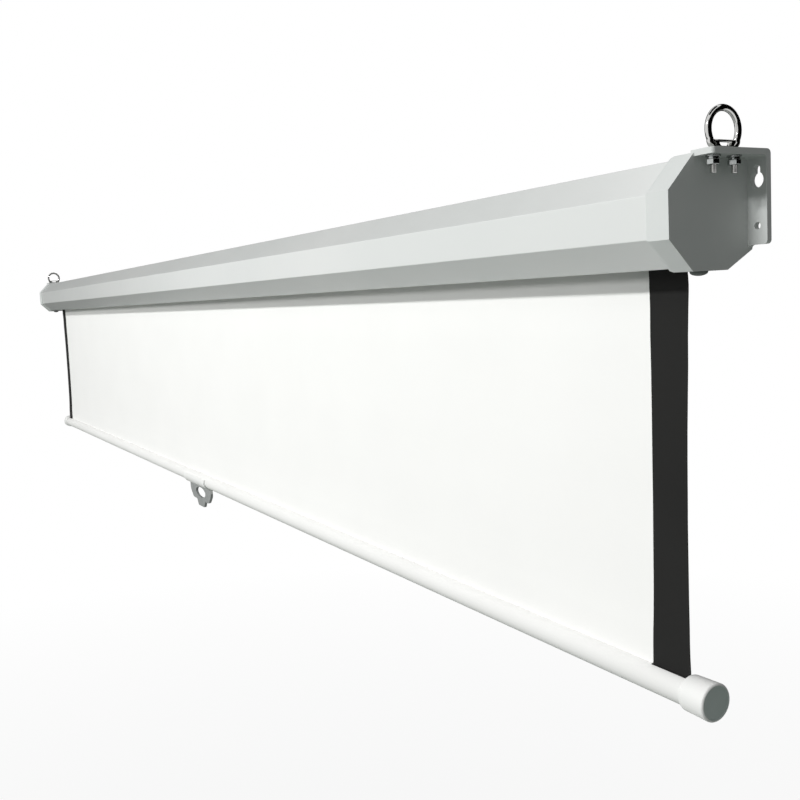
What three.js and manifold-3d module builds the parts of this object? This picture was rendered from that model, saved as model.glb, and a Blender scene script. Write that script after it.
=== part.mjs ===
import * as THREE from 'three';
import { mergeVertices } from 'three/addons/utils/BufferGeometryUtils.js';
import Module from 'manifold-3d';

// A manual pull down projector screen, in millimetres, +Z up. X runs along the case, the wall is the
// plane Y = 0 with the screen in front of it at negative Y, and Z = 0 is the height of the roller's axis.

const wasm = await Module();
wasm.setup();

// Driving dimensions of the case and its end caps
const caseLength = 2200;
const capHeight = 71.5;
const capDepth = 72;
const topBevelDepthShare = 0.304;
const topBevelHeightShare = 0.315;
const frontBevelDepthShare = 0.271;
const frontBevelHeightShare = 0.274;
const rearBevelDepthShare = 0.31;
const rearBevelHeightShare = 0.172;
const capWall = 2;
const plateThickness = 2.5;
const collarLength = 20;
const collarLeadIn = 4;
const collarLeadInWallShare = 0.5;
const sheetThickness = 1;
const slotWidth = 20;
const slotRearShare = 0.17;
const slotLipHeight = 5;

// Driving dimensions of the tab and the wall flange on each end cap
const tabReach = 15;
const tabThickness = 3.8;
const tabRise = 1.5;
const tabCornerRadius = 2.5;
const bracketBendRadius = 3;
const bracketInnerRadius = 1.5;
const bracketFootRadius = 2.5;
const flangeFootShare = 0.209;
const keyholeRadius = 5;
const keyholeSlotWidth = 5;
const keyholeLength = 14.2;
const keyholeHeightShare = 0.267;
const screwHoleRadius = 2.4;
const screwHoleDropShare = 0.13;

// Driving dimensions of the hanger on each tab
const hangerRodRadius = 2.1;
const hangerRingRadius = 12.9;
const hangerRingRise = 11.5;
const hangerLegSpacing = 18;
const hangerSideSpacing = 22.8;
const hangerLegBend = 3;
const hangerInsetShare = 0.456;
const crossbarWidth = 3.6;
const crossbarHeight = 5.4;
const crossbarRoundShare = 0.38;
const crossbarOpeningWidth = 10.4;
const crossbarOpeningFoot = 1.4;
const crossbarOpeningTop = 4.1;
const crossbarOpeningBowlShare = 0.8;
const crossbarOpeningCornerShare = 0.1;
const washerRadius = 4.5;
const washerThickness = 1;
const lockWasherRadius = 3.6;
const lockWasherThickness = 1.6;
const lockWasherSplit = 0.8;
const nutAcrossFlats = 7;
const nutHeight = 3.2;
const nutSides = 6;
const studStub = 4.9;

// Driving dimensions of the rubber bumper under each end cap
const bumperRadius = 5.7;
const bumperHeight = 2.9;
const bumperRimShare = 0.15;
const bumperInsetShare = 0.515;

// Driving dimensions of the fabric, and of the roller that it winds on
const fabricEndRoom = 33;
const fabricThickness = 0.35;
const fabricWound = 1500;
const fabricInsetShare = 0.389;
const borderWidth = 33.3;
const rollerTubeRadius = 12;
const rollerTubeWall = 1;
const rollerTubeOverhang = 3;

// Driving dimensions of the plugs, the pin, the bush and the boss that holds it
const plugDepth = 25;
const plugFlangeThickness = 3;
const plugFlangeRadius = 16.5;
const gudgeonRadius = 3;
const gudgeonInBush = 8;
const gudgeonInPlug = 20;
const bushRadius = 8;
const bushLength = 12;
const bossLength = 8;
const bossWall = 2.2;
const bossRootShare = 0.5;

// Driving dimensions of the spindle, the spring and the lock
const spindleRadius = 3.5;
const spindleLength = 270;
const tangThickness = 4;
const tangInHolder = 9.5;
const anchorLength = 12;
const springWireRadius = 1.5;
const springMeanRadius = 7;
const springTurns = 24;
const wheelRadius = 8.4;
const wheelThickness = 4.5;
const wheelRootShare = 0.66;
const wheelRampShare = 0.85;
const notchCount = 6;
const pawlPivotShare = 1.571;
const pawlReachShare = 1.214;
const pawlSeatShare = 0.8;
const pawlThickness = 4;
const pawlArmShares = [[0.26, -0.62], [0.5, -0.4], [1, -0.26], [1, 0.1], [0.5, 0.12], [0.26, 0.62]];
const pawlEyeRadius = 2.6;
const pawlPinRadius = 1.2;
const pawlPinHeadRadius = 2.2;
const pawlPinHeadThickness = 1;
const pawlPinSeat = 2.4;

// Driving dimensions of the bottom bar
const barDrop = 321.1;
const barTubeRadius = 10;
const barTubeWall = 1;
const barEndInset = 10;
const barCapFlare = 3.1;
const barCapShoulder = 1.3;
const barCapMouthWall = 1.2;
const barCapShoulderLength = 2.5;
const barCapEndWall = 4;
const barCapRim = 1;
const hemSeamHeight = 1.5;

// Driving dimensions of the pull handle
const handleWidth = 104;
const handleDepth = 26;
const handleThickness = 4;
const handleNubDepth = 10;
const handleHoleWidth = 48;
const handleHoleHeight = 17;
const handleTopWeb = 4.5;
const handleClipWall = 1.6;
const handleShoulderRadius = 11;
const handleNubRadius = 3.5;
const handleShoulderShare = 0.5;
const handleFootShare = 0.74;
const handleNubRootShare = 0.4;
const handleNubTipShare = 0.27;

// Clearances: between pieces that fit together, what a cutter runs past a face, and what counts as one place
const fitGap = 0.3;
const overrun = 5;
const weldTolerance = 1e-4;

// Counts of facets, and angles in degrees
const roundFacets = 32;
const smallRoundFacets = 16;
const wireFacets = 10;
const filletSteps = 4;
const landSteps = 2;
const ringSteps = 10;
const bendSteps = 3;
const curlSteps = 8;
const curlFacets = 5;
const handleClipOpening = 130;
const hemSeamStart = 4;
const hemSeamAngle = 16;
const pawlSwing = 18;
const nutTurns = [12, 30];
const lockWasherTurns = [20, 100];
const pawlTipAngles = [135, 315];

// Places worked out from the driving dimensions
const halfCase = caseLength / 2;
const plateInner = halfCase - plateThickness;
const capTop = capHeight / 2;
const capBottom = -capHeight / 2;
const tabTop = capTop + tabRise;
const tabUnderside = tabTop - tabThickness;
const tabFront = -capDepth + topBevelDepthShare * capDepth;
const tabMiddle = halfCase + tabReach / 2;
const flangeFoot = capBottom + flangeFootShare * capHeight;
const keyholeHeight = keyholeHeightShare * capHeight;
const hangerInset = hangerInsetShare * capDepth;
const hangerLegs = [-hangerInset - hangerLegSpacing / 2, -hangerInset + hangerLegSpacing / 2];
const lockWasherTop = tabUnderside - washerThickness;
const nutTop = lockWasherTop - lockWasherThickness;
const hangerLeg = hangerLegSpacing / 2;
const hangerSide = hangerSideSpacing / 2;
const ringCentre = tabTop + hangerRingRise;
const ringBendDrop = Math.sqrt((hangerRingRadius + hangerLegBend) ** 2 - (hangerSide + hangerLegBend) ** 2);
const flareAngle = Math.acos(1 - (hangerSide - hangerLeg) / (2 * hangerLegBend));
const flareTop = ringCentre - ringBendDrop;
const flareFoot = flareTop - 2 * hangerLegBend * Math.sin(flareAngle);
const shellInset = capWall + fitGap;
const shellBottom = capBottom + shellInset;
const rollCore = rollerTubeRadius + fitGap;
const rollRadius = Math.sqrt(rollCore ** 2 + (fabricWound * fabricThickness) / Math.PI);
const windingRadius = rollRadius + fitGap + fabricThickness / 2;
const fabricPlane = -fabricInsetShare * capDepth;
const rollerAxis = fabricPlane - windingRadius;
const halfFabric = halfCase - fabricEndRoom;
const halfTube = halfFabric + rollerTubeOverhang;
const tubeBore = rollerTubeRadius - rollerTubeWall;
const plugRadius = tubeBore - fitGap;
const flangeFace = halfTube + plugFlangeThickness;
const wheelInner = flangeFace + 2 * fitGap;
const wheelOuter = wheelInner + wheelThickness;
const holderInner = plateInner - bushLength;
const spindleInner = wheelInner - spindleLength;
const hemInner = barTubeRadius + fitGap;
const hemRadius = hemInner + fabricThickness;
const halfBar = halfCase - barEndInset;

const colours = {
  paintedSteel: { color: 0xdddfde, roughness: 0.45, metalness: 0.1 },
  mouldedCap: { color: 0xd5dad9, roughness: 0.5, metalness: 0 },
  chrome: { color: 0xd9d9d6, roughness: 0.12, metalness: 1 },
  zinc: { color: 0xb4b6b4, roughness: 0.35, metalness: 1 },
  rubber: { color: 0x202020, roughness: 0.8, metalness: 0 },
  bareSteel: { color: 0x8f9294, roughness: 0.4, metalness: 1 },
  springSteel: { color: 0x55585a, roughness: 0.35, metalness: 1 },
  nylon: { color: 0xe8e4d8, roughness: 0.5, metalness: 0 },
  whiteFabric: { color: 0xfafafa, roughness: 0.9, metalness: 0 },
  blackFabric: { color: 0x1b1b1b, roughness: 0.9, metalness: 0 },
  whitePlastic: { color: 0xeeeeec, roughness: 0.45, metalness: 0 },
  greyPlastic: { color: 0x8e908f, roughness: 0.45, metalness: 0 },
};

// Turns degrees into radians.
const radians = THREE.MathUtils.degToRad;

// A point of an outline.
function at(x, y) {
  return new THREE.Vector2(x, y);
}

// A point of an outline by its distance and its direction from the centre.
function polar(radius, angle) {
  return at(radius * Math.cos(angle), radius * Math.sin(angle));
}

// Joins the vertices that share a place, drops triangles with no area and turns the faces outwards.
function weld(geometry) {
  const bare = geometry.clone();
  bare.deleteAttribute('normal');
  bare.deleteAttribute('uv');
  const merged = mergeVertices(bare, weldTolerance);
  const place = merged.getAttribute('position');
  const corners = [0, 1, 2].map(() => new THREE.Vector3());
  const kept = [];
  let volume = 0;
  for (let i = 0; i < merged.index.count; i += 3) {
    const triangle = [0, 1, 2].map((k) => merged.index.getX(i + k));
    if (new Set(triangle).size < 3) continue;
    corners.forEach((corner, k) => corner.fromBufferAttribute(place, triangle[k]));
    volume += corners[0].dot(corners[1].clone().cross(corners[2]));
    kept.push(triangle);
  }
  const index = kept.flatMap(([a, b, c]) => (volume > 0 ? [a, b, c] : [a, c, b]));
  merged.setIndex(index);
  return merged;
}

// Makes a solid for cutting and joining out of a geometry.
function solid(geometry) {
  const closed = weld(geometry);
  const vertProperties = Float32Array.from(closed.getAttribute('position').array);
  const triVerts = Uint32Array.from(closed.index.array);
  return new wasm.Manifold(new wasm.Mesh({ numProp: 3, vertProperties, triVerts }));
}

// Turns a solid back into a geometry.
function geometryOf(body) {
  const result = body.getMesh();
  const geometry = new THREE.BufferGeometry();
  geometry.setAttribute('position', new THREE.BufferAttribute(Float32Array.from(result.vertProperties), 3));
  geometry.setIndex(Array.from(result.triVerts));
  return geometry;
}

function joined(...geometries) {
  const [first, ...rest] = geometries.map(solid);
  return geometryOf(rest.reduce((sum, next) => sum.add(next), first));
}

function without(geometry, ...cutters) {
  return geometryOf(cutters.map(solid).reduce((left, cutter) => left.subtract(cutter), solid(geometry)));
}

function shared(...geometries) {
  const [first, ...rest] = geometries.map(solid);
  return geometryOf(rest.reduce((common, next) => common.intersect(next), first));
}

// The crossing of two lines, each given by a start and a direction.
function crossing(first, second) {
  const reach = second.start.clone().sub(first.start).cross(second.along) / first.along.cross(second.along);
  return first.start.clone().addScaledVector(first.along, reach);
}

// The line of one edge, moved to the left of its direction.
function movedEdge(start, end, distance) {
  const along = end.clone().sub(start).normalize();
  const left = at(-along.y, along.x);
  return { start: start.clone().addScaledVector(left, distance), along };
}

// Moves each edge of a closed outline inwards by its own distance; the outline runs anticlockwise.
function insetOutline(points, insets) {
  const count = points.length;
  const edges = points.map((point, i) => movedEdge(point, points[(i + 1) % count], insets[i]));
  return edges.map((edge, i) => crossing(edges[(i + count - 1) % count], edge));
}

// The closed outline of a sheet of even thickness that lies to the left of an open line.
function sheetOutline(points, thickness) {
  const edges = points.slice(1).map((point, i) => movedEdge(points[i], point, thickness));
  const last = edges[edges.length - 1];
  const lastLength = points[points.length - 1].distanceTo(points[points.length - 2]);
  const turns = edges.slice(1).map((edge, i) => crossing(edges[i], edge));
  const end = last.start.clone().addScaledVector(last.along, lastLength);
  return [...points, end, ...turns.reverse(), edges[0].start];
}

// Rounds the corners of a closed outline, each by its own radius.
function rounded(corners, radii, steps = filletSteps) {
  return corners.flatMap((corner, i) => {
    const radius = radii[i];
    if (!radius) return [corner];
    const toLast = corners[(i + corners.length - 1) % corners.length].clone().sub(corner).normalize();
    const toNext = corners[(i + 1) % corners.length].clone().sub(corner).normalize();
    const half = Math.acos(toLast.dot(toNext)) / 2;
    const middle = toLast.clone().add(toNext).normalize();
    const centre = corner.clone().addScaledVector(middle, radius / Math.sin(half));
    const first = corner.clone().addScaledVector(toLast, radius / Math.tan(half)).sub(centre);
    const sweep = (Math.PI - 2 * half) * -Math.sign(toLast.cross(toNext));
    return Array.from({ length: steps + 1 }, (_, k) =>
      first.clone().rotateAround(at(0, 0), (sweep * k) / steps).add(centre));
  });
}

// Points on an arc, both ends included.
function arc(centre, radius, from, to, steps) {
  return Array.from({ length: steps + 1 }, (_, i) => {
    const angle = from + ((to - from) * i) / steps;
    return at(centre.x + radius * Math.cos(angle), centre.y + radius * Math.sin(angle));
  });
}

function circle(centre, radius, steps = roundFacets) {
  return arc(centre, radius, 0, 2 * Math.PI, steps).slice(0, -1);
}

// Extrudes an outline along local Z, from zero to the given length.
function extruded(outline, length, holes = []) {
  const shape = new THREE.Shape(outline);
  shape.holes = holes.map((hole) => new THREE.Path(hole));
  return new THREE.ExtrudeGeometry(shape, { depth: length, bevelEnabled: false });
}

// An outline in Y and Z, extruded along X.
function extrudedX(outline, from, to, holes) {
  const turn = new THREE.Matrix4().makeBasis(
    new THREE.Vector3(0, 1, 0), new THREE.Vector3(0, 0, 1), new THREE.Vector3(1, 0, 0));
  return extruded(outline, to - from, holes).applyMatrix4(turn).translate(from, 0, 0);
}

// An outline in X and Z, extruded along Y.
function extrudedY(outline, from, to, holes) {
  const turn = new THREE.Matrix4().makeBasis(
    new THREE.Vector3(1, 0, 0), new THREE.Vector3(0, 0, 1), new THREE.Vector3(0, -1, 0));
  return extruded(outline, to - from, holes).applyMatrix4(turn).translate(0, to, 0);
}

// An outline in X and Y, extruded along Z.
function extrudedZ(outline, from, to, holes) {
  return extruded(outline, to - from, holes).translate(0, 0, from);
}

function box(fromX, toX, fromY, toY, fromZ, toZ) {
  return extrudedZ([at(fromX, fromY), at(toX, fromY), at(toX, toY), at(fromX, toY)], fromZ, toZ);
}

// A profile of radius and place, turned about the X axis.
function turnedX(profile, facets = roundFacets) {
  return weld(new THREE.LatheGeometry(profile, facets)).rotateZ(-Math.PI / 2);
}

// A round tube or rod about the X axis.
function tubeX(outer, inner, from, to, facets) {
  const bore = inner ? [at(inner, to), at(inner, from)] : [at(0, to)];
  const start = inner ? at(inner, from) : at(0, from);
  return turnedX([start, at(outer, from), at(outer, to), ...bore], facets);
}

// Joins cross-sections that have as many points each, placed along X.
function lofted(sections) {
  const count = sections[0].outline.length;
  const positions = sections.flatMap(({ x, outline }) => outline.flatMap((point) => [x, point.x, point.y]));
  const index = [];
  for (let s = 0; s < sections.length - 1; s += 1) {
    for (let i = 0; i < count; i += 1) {
      const a = s * count + i;
      const b = s * count + ((i + 1) % count);
      index.push(a, b, b + count, a, b + count, a + count);
    }
  }
  const last = (sections.length - 1) * count;
  THREE.ShapeUtils.triangulateShape(sections[0].outline, []).forEach(([a, b, c]) => {
    index.push(a, c, b, last + a, last + b, last + c);
  });
  const geometry = new THREE.BufferGeometry();
  geometry.setAttribute('position', new THREE.Float32BufferAttribute(positions, 3));
  geometry.setIndex(index);
  return weld(geometry);
}

// A round wire through a list of points, with one ring of facets at each point.
function wire(points, radius, facets) {
  const ways = points.map((point, i) => {
    const before = points[Math.max(i - 1, 0)];
    const after = points[Math.min(i + 1, points.length - 1)];
    return after.clone().sub(before).normalize();
  });
  const alongX = Math.abs(ways[0].x) > Math.abs(ways[0].z);
  const side = new THREE.Vector3(alongX ? 0 : 1, 0, alongX ? 1 : 0).cross(ways[0]);
  const positions = [];
  points.forEach((point, i) => {
    side.addScaledVector(ways[i], -side.dot(ways[i])).normalize();
    const up = ways[i].clone().cross(side);
    for (let k = 0; k < facets; k += 1) {
      const angle = (2 * Math.PI * k) / facets;
      const place = point.clone()
        .addScaledVector(side, radius * Math.cos(angle))
        .addScaledVector(up, radius * Math.sin(angle));
      positions.push(...place.toArray());
    }
  });
  const index = [];
  for (let i = 0; i < points.length - 1; i += 1) {
    for (let k = 0; k < facets; k += 1) {
      const a = i * facets + k;
      const b = i * facets + ((k + 1) % facets);
      index.push(a, b, b + facets, a, b + facets, a + facets);
    }
  }
  const last = (points.length - 1) * facets;
  for (let k = 1; k < facets - 1; k += 1) index.push(0, k + 1, k, last, last + k, last + k + 1);
  const geometry = new THREE.BufferGeometry();
  geometry.setAttribute('position', new THREE.Float32BufferAttribute(positions, 3));
  geometry.setIndex(index);
  return weld(geometry);
}

// The piece for one end: the right end is at positive X, and the left end is its mirror image.
function forEnd(sign, geometry) {
  return sign > 0 ? geometry : weld(geometry.clone().scale(-1, 1, 1));
}

function piece(name, geometry, colour) {
  const mesh = new THREE.Mesh(weld(geometry), new THREE.MeshStandardMaterial(colours[colour]));
  mesh.name = name;
  mesh.geometry.computeVertexNormals();
  return mesh;
}

// The end cap's outline in Y and Z, anticlockwise from the bottom rear corner. The edge after its
// second point is the back, which lies on the wall.
const capOutline = [
  at(-rearBevelDepthShare * capDepth, capBottom),
  at(0, capBottom + rearBevelHeightShare * capHeight),
  at(0, capTop),
  at(tabFront, capTop),
  at(-capDepth, capTop - topBevelHeightShare * capHeight),
  at(-capDepth, capBottom + frontBevelHeightShare * capHeight),
  at(-capDepth + frontBevelDepthShare * capDepth, capBottom),
];
const backEdge = 1;

// The cap's outline moved inwards everywhere but at the back, which moves by its own distance.
function capInset(distance, backDistance = 0) {
  return insetOutline(capOutline, capOutline.map((_, i) => (i === backEdge ? backDistance : distance)));
}

// The case: one folded sheet, with a slot in its bottom whose edges turn up into the case.
function caseShell() {
  const [bottomRear, ...others] = capInset(shellInset);
  const slotRear = fabricPlane + slotRearShare * slotWidth;
  const slotFront = slotRear - slotWidth;
  const line = [
    at(slotRear, shellBottom + slotLipHeight),
    at(slotRear, shellBottom),
    bottomRear,
    ...others,
    at(slotFront, shellBottom),
    at(slotFront, shellBottom + slotLipHeight),
  ];
  const halfShell = plateInner - fitGap;
  return extrudedX(sheetOutline(line, sheetThickness), -halfShell, halfShell);
}

// The tab and the wall flange: one bent strip beyond the end plate, with the holes in both. The
// flange's foot runs into the end plate in a small round.
function capBracket() {
  const reach = halfCase + tabReach;
  const root = flangeFoot - bracketFootRadius;
  const bend = rounded([
    at(tabFront, tabTop),
    at(tabFront, tabUnderside),
    at(-tabThickness, tabUnderside),
    at(-tabThickness, root),
    at(0, root),
    at(0, tabTop),
  ], [0, 0, bracketInnerRadius, 0, 0, bracketBendRadius]);
  const fromAbove = rounded([
    at(plateInner, tabFront),
    at(reach, tabFront),
    at(reach, overrun),
    at(plateInner, overrun),
  ], [0, tabCornerRadius, 0, 0]);
  const fromFront = rounded([
    at(plateInner, root),
    at(halfCase, root),
    at(halfCase, flangeFoot),
    at(reach, flangeFoot),
    at(reach, tabTop + overrun),
    at(plateInner, tabTop + overrun),
  ], [0, 0, bracketFootRadius, tabCornerRadius, 0, 0]);
  const bracket = shared(
    extrudedX(bend, plateInner, reach + overrun),
    extrudedZ(fromAbove, root - overrun, tabTop + overrun),
    extrudedY(fromFront, tabFront - overrun, overrun),
  );
  const halfSlot = keyholeSlotWidth / 2;
  const slotEnd = at(tabMiddle, keyholeHeight - keyholeRadius + keyholeLength - halfSlot);
  const slot = [
    ...arc(slotEnd, halfSlot, 0, Math.PI, 2 * filletSteps),
    at(tabMiddle - halfSlot, keyholeHeight),
    at(tabMiddle + halfSlot, keyholeHeight),
  ];
  const flangeHoles = [
    slot,
    circle(at(tabMiddle, keyholeHeight), keyholeRadius, smallRoundFacets),
    circle(at(tabMiddle, -screwHoleDropShare * capHeight), screwHoleRadius, smallRoundFacets),
  ].map((hole) => extrudedY(hole, -tabThickness - overrun, overrun));
  const tabHoles = hangerLegs.map((y) =>
    extrudedZ(legHole(at(tabMiddle, y)), tabUnderside - overrun, tabTop + overrun));
  return without(bracket, ...flangeHoles, ...tabHoles);
}

// The outline of a hole that a hanger's leg passes through.
function legHole(centre) {
  return circle(centre, hangerRodRadius + fitGap, smallRoundFacets);
}

// The end cap, moulded in one: collar, end plate, bracket, and the boss for the roller's bearing.
function endCap() {
  const body = lofted([
    { x: halfCase - collarLength, outline: capInset(collarLeadInWallShare * capWall) },
    { x: halfCase - collarLength + collarLeadIn, outline: capOutline },
    { x: halfCase, outline: capOutline },
  ]);
  const hollow = extrudedX(capInset(capWall, -overrun), halfCase - collarLength - overrun, plateInner);
  const bossBore = bushRadius + fitGap;
  const bossRoot = plateInner + bossRootShare * plateThickness;
  const boss = tubeX(bossBore + bossWall, bossBore, plateInner - bossLength, bossRoot)
    .translate(0, rollerAxis, 0);
  return joined(without(body, hollow), boss, capBracket());
}

// The hanger: a rod bent to a ring, whose straight sides draw in above the tab to two threaded legs.
function hangerBolt() {
  const bendAngle = Math.atan2(ringBendDrop, hangerSide + hangerLegBend);
  const bendCentre = at(hangerSide + hangerLegBend, flareTop);
  const oneSide = [
    at(hangerLeg, nutTop - nutHeight - studStub),
    ...arc(at(hangerLeg + hangerLegBend, flareFoot), hangerLegBend, Math.PI, Math.PI - flareAngle, bendSteps),
    ...arc(at(hangerSide - hangerLegBend, flareTop), hangerLegBend, -flareAngle, 0, bendSteps).slice(1),
    ...arc(bendCentre, hangerLegBend, Math.PI, Math.PI - bendAngle, bendSteps).slice(1),
    ...arc(at(0, ringCentre), hangerRingRadius, -bendAngle, Math.PI / 2, ringSteps).slice(1),
  ];
  const otherSide = oneSide.slice(0, -1).reverse().map((point) => at(-point.x, point.y));
  const path = [...oneSide, ...otherSide].map((point) =>
    new THREE.Vector3(tabMiddle, -hangerInset + point.x, point.y));
  return wire(path, hangerRodRadius, wireFacets);
}

// The crossbar that closes the ring: a rounded bar that lies on the tab, with a bowl-shaped opening through
// it. Its ends follow the rod's bends.
function hangerCrossbar() {
  const room = hangerRodRadius + fitGap;
  const end = [
    at(hangerLeg - room, tabTop),
    ...arc(at(hangerLeg + hangerLegBend, flareFoot), hangerLegBend + room, Math.PI, Math.PI - flareAngle,
      bendSteps).slice(1),
    at(hangerSide - room, flareTop),
    at(hangerSide - room, tabTop + crossbarHeight),
  ];
  const otherEnd = end.map((point) => at(-point.x, point.y)).reverse();
  const fromSide = [...end, ...otherEnd].map((point) => point.add(at(-hangerInset, 0)));
  const halfWidth = crossbarWidth / 2;
  const round = crossbarRoundShare * crossbarWidth;
  const outline = rounded([
    at(tabMiddle - halfWidth, tabTop),
    at(tabMiddle + halfWidth, tabTop),
    at(tabMiddle + halfWidth, tabTop + crossbarHeight),
    at(tabMiddle - halfWidth, tabTop + crossbarHeight),
  ], [round, round, round, round]);
  const halfOpening = crossbarOpeningWidth / 2;
  const openingHeight = crossbarOpeningTop - crossbarOpeningFoot;
  const bowl = crossbarOpeningBowlShare * openingHeight;
  const corner = crossbarOpeningCornerShare * openingHeight;
  const opening = rounded([
    at(-hangerInset - halfOpening, tabTop + crossbarOpeningFoot),
    at(-hangerInset + halfOpening, tabTop + crossbarOpeningFoot),
    at(-hangerInset + halfOpening, tabTop + crossbarOpeningTop),
    at(-hangerInset - halfOpening, tabTop + crossbarOpeningTop),
  ], [bowl, bowl, corner, corner]);
  const bar = shared(
    extrudedX(fromSide, tabMiddle - crossbarWidth, tabMiddle + crossbarWidth),
    extrudedY(outline, -hangerInset - hangerSide, -hangerInset + hangerSide),
  );
  return without(bar, extrudedX(opening, tabMiddle - crossbarWidth, tabMiddle + crossbarWidth));
}

function hangerWasher(y) {
  const centre = at(tabMiddle, y);
  const rim = circle(centre, washerRadius, smallRoundFacets);
  return extrudedZ(rim, tabUnderside - washerThickness, tabUnderside, [legHole(centre)]);
}

// The split spring washer between the flat washer and the nut.
function hangerLockWasher(y, turn) {
  const centre = at(tabMiddle, y);
  const halfSplit = lockWasherSplit / 2;
  const ring = [lockWasherRadius, hangerRodRadius + fitGap].map((radius) => {
    const edge = Math.asin(halfSplit / radius);
    return arc(at(0, 0), radius, edge, 2 * Math.PI - edge, roundFacets).map((point) =>
      point.rotateAround(at(0, 0), radians(turn)).add(centre));
  });
  return extrudedZ([...ring[0], ...ring[1].reverse()], nutTop, lockWasherTop);
}

function hangerNut(y, turn) {
  const centre = at(tabMiddle, y);
  const hexagon = circle(at(0, 0), nutAcrossFlats / 2 / Math.cos(Math.PI / nutSides), nutSides)
    .map((point) => point.rotateAround(at(0, 0), radians(turn)).add(centre));
  return extrudedZ(hexagon, nutTop - nutHeight, nutTop, [legHole(centre)]);
}

// The rubber bumper that the bottom bar comes up against.
function bumper() {
  const rim = bumperRimShare * bumperHeight;
  const dome = arc(at(0, 0), 1, 0, Math.PI / 2, filletSteps)
    .map((point) => at(bumperRadius * point.x, -rim - (bumperHeight - rim) * point.y));
  const profile = [at(0, 0), at(bumperRadius, 0), ...dome.slice(0, -1), at(0, -bumperHeight)];
  return weld(new THREE.LatheGeometry(profile, smallRoundFacets)).rotateX(Math.PI / 2)
    .translate(halfCase - collarLength / 2, -bumperInsetShare * capDepth, capBottom);
}

// The outline of the spindle's flat tang, with a gap all round it for what grips it.
function tangOutline(gap) {
  const radius = spindleRadius + gap;
  const edge = Math.acos((tangThickness / 2 + gap) / radius);
  return [
    ...arc(at(0, 0), radius, edge, Math.PI - edge, filletSteps),
    ...arc(at(0, 0), radius, Math.PI + edge, 2 * Math.PI - edge, filletSteps),
  ];
}

// The holder in the left end cap: a round block with a slot, open at the top, for the tang.
function spindleHolder() {
  const block = tubeX(bushRadius, 0, holderInner, plateInner);
  const halfSlot = tangThickness / 2 + fitGap;
  const slot = box(holderInner - overrun, holderInner + tangInHolder + fitGap, -halfSlot, halfSlot,
    -spindleRadius - fitGap, bushRadius + overrun);
  return without(block, slot);
}

// The bush in the right end cap that the gudgeon pin turns in.
function pinBush() {
  return tubeX(bushRadius, gudgeonRadius + fitGap, holderInner, plateInner);
}

// The fixed spindle: a round rod with a flat tang at its outer end.
function springSpindle() {
  const tangEnd = holderInner + tangInHolder;
  const rod = tubeX(spindleRadius, 0, spindleInner, tangEnd, smallRoundFacets);
  const sides = [-1, 1].map((side) => {
    const near = side * tangThickness / 2;
    const far = side * (spindleRadius + overrun);
    const low = -spindleRadius - overrun;
    return box(wheelInner, tangEnd + overrun, Math.min(near, far), Math.max(near, far), low, -low);
  });
  return without(rod, ...sides);
}

// The ratchet wheel, keyed to the tang. Each notch has a steep face that stops a pawl on its way up.
function ratchetWheel() {
  const pitch = (2 * Math.PI) / notchCount;
  const faceGap = fitGap / (pawlSeatShare * wheelRadius);
  const outline = Array.from({ length: notchCount }, (_, i) => {
    const face = radians(pawlTipAngles[0]) + faceGap + i * pitch;
    const land = arc(at(0, 0), wheelRadius, face, face + (1 - wheelRampShare) * pitch, landSteps);
    const root = polar(wheelRootShare * wheelRadius, face);
    return [root, ...land];
  }).flat();
  return extrudedX(outline, wheelInner, wheelOuter, [tangOutline(fitGap)]);
}

// A pawl's pivot, and the way from there to its tip when the tip is seated in a notch.
function pawlPlace(tipAngle) {
  const seat = pawlSeatShare * wheelRadius;
  const pivot = pawlPivotShare * wheelRadius;
  const reach = pawlReachShare * wheelRadius;
  const behind = Math.acos((seat ** 2 + pivot ** 2 - reach ** 2) / (2 * seat * pivot));
  const pivotPoint = polar(pivot, radians(tipAngle) - behind);
  const way = polar(seat, radians(tipAngle)).sub(pivotPoint);
  return { pivotPoint, way: Math.atan2(way.y, way.x), reach };
}

// A pawl, drawn lifted out of its notch by its whole swing.
function lockPawl(tipAngle) {
  const { pivotPoint, way, reach } = pawlPlace(tipAngle);
  const eye = arc(at(0, 0), pawlEyeRadius, Math.PI / 2, 1.5 * Math.PI, 2 * filletSteps);
  const arm = pawlArmShares.map(([along, across]) => at(along * reach, across * pawlEyeRadius));
  const outline = [...eye, ...arm].map((point) =>
    point.rotateAround(at(0, 0), way - radians(pawlSwing)).add(pivotPoint));
  const hole = circle(pivotPoint, pawlPinRadius + fitGap, smallRoundFacets);
  return extrudedX(outline, wheelInner, wheelInner + pawlThickness, [hole]);
}

// The pin of a pawl: a shank seated in the plug's flange, and a head that keeps the pawl on.
function pawlPin(tipAngle) {
  const { pivotPoint } = pawlPlace(tipAngle);
  const headInner = wheelInner + pawlThickness + fitGap;
  const profile = [
    at(0, flangeFace - pawlPinSeat),
    at(pawlPinRadius, flangeFace - pawlPinSeat),
    at(pawlPinRadius, headInner),
    at(pawlPinHeadRadius, headInner),
    at(pawlPinHeadRadius, headInner + pawlPinHeadThickness),
    at(0, headInner + pawlPinHeadThickness),
  ];
  return turnedX(profile, smallRoundFacets).translate(0, pivotPoint.x, pivotPoint.y);
}

// A plug in the end of the roller tube, with a flange against the tube's end and a bore through it.
function rollerPlug(bore) {
  return turnedX([
    at(bore, halfTube - plugDepth),
    at(plugRadius, halfTube - plugDepth),
    at(plugRadius, halfTube),
    at(plugFlangeRadius, halfTube),
    at(plugFlangeRadius, flangeFace),
    at(bore, flangeFace),
    at(bore, halfTube - plugDepth),
  ]);
}

function springPlug() {
  const seats = pawlTipAngles.map((tipAngle) => {
    const seat = circle(pawlPlace(tipAngle).pivotPoint, pawlPinRadius + fitGap, smallRoundFacets);
    return extrudedX(seat, flangeFace - pawlPinSeat - fitGap, flangeFace + overrun);
  });
  return without(rollerPlug(spindleRadius + fitGap), ...seats);
}

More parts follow.
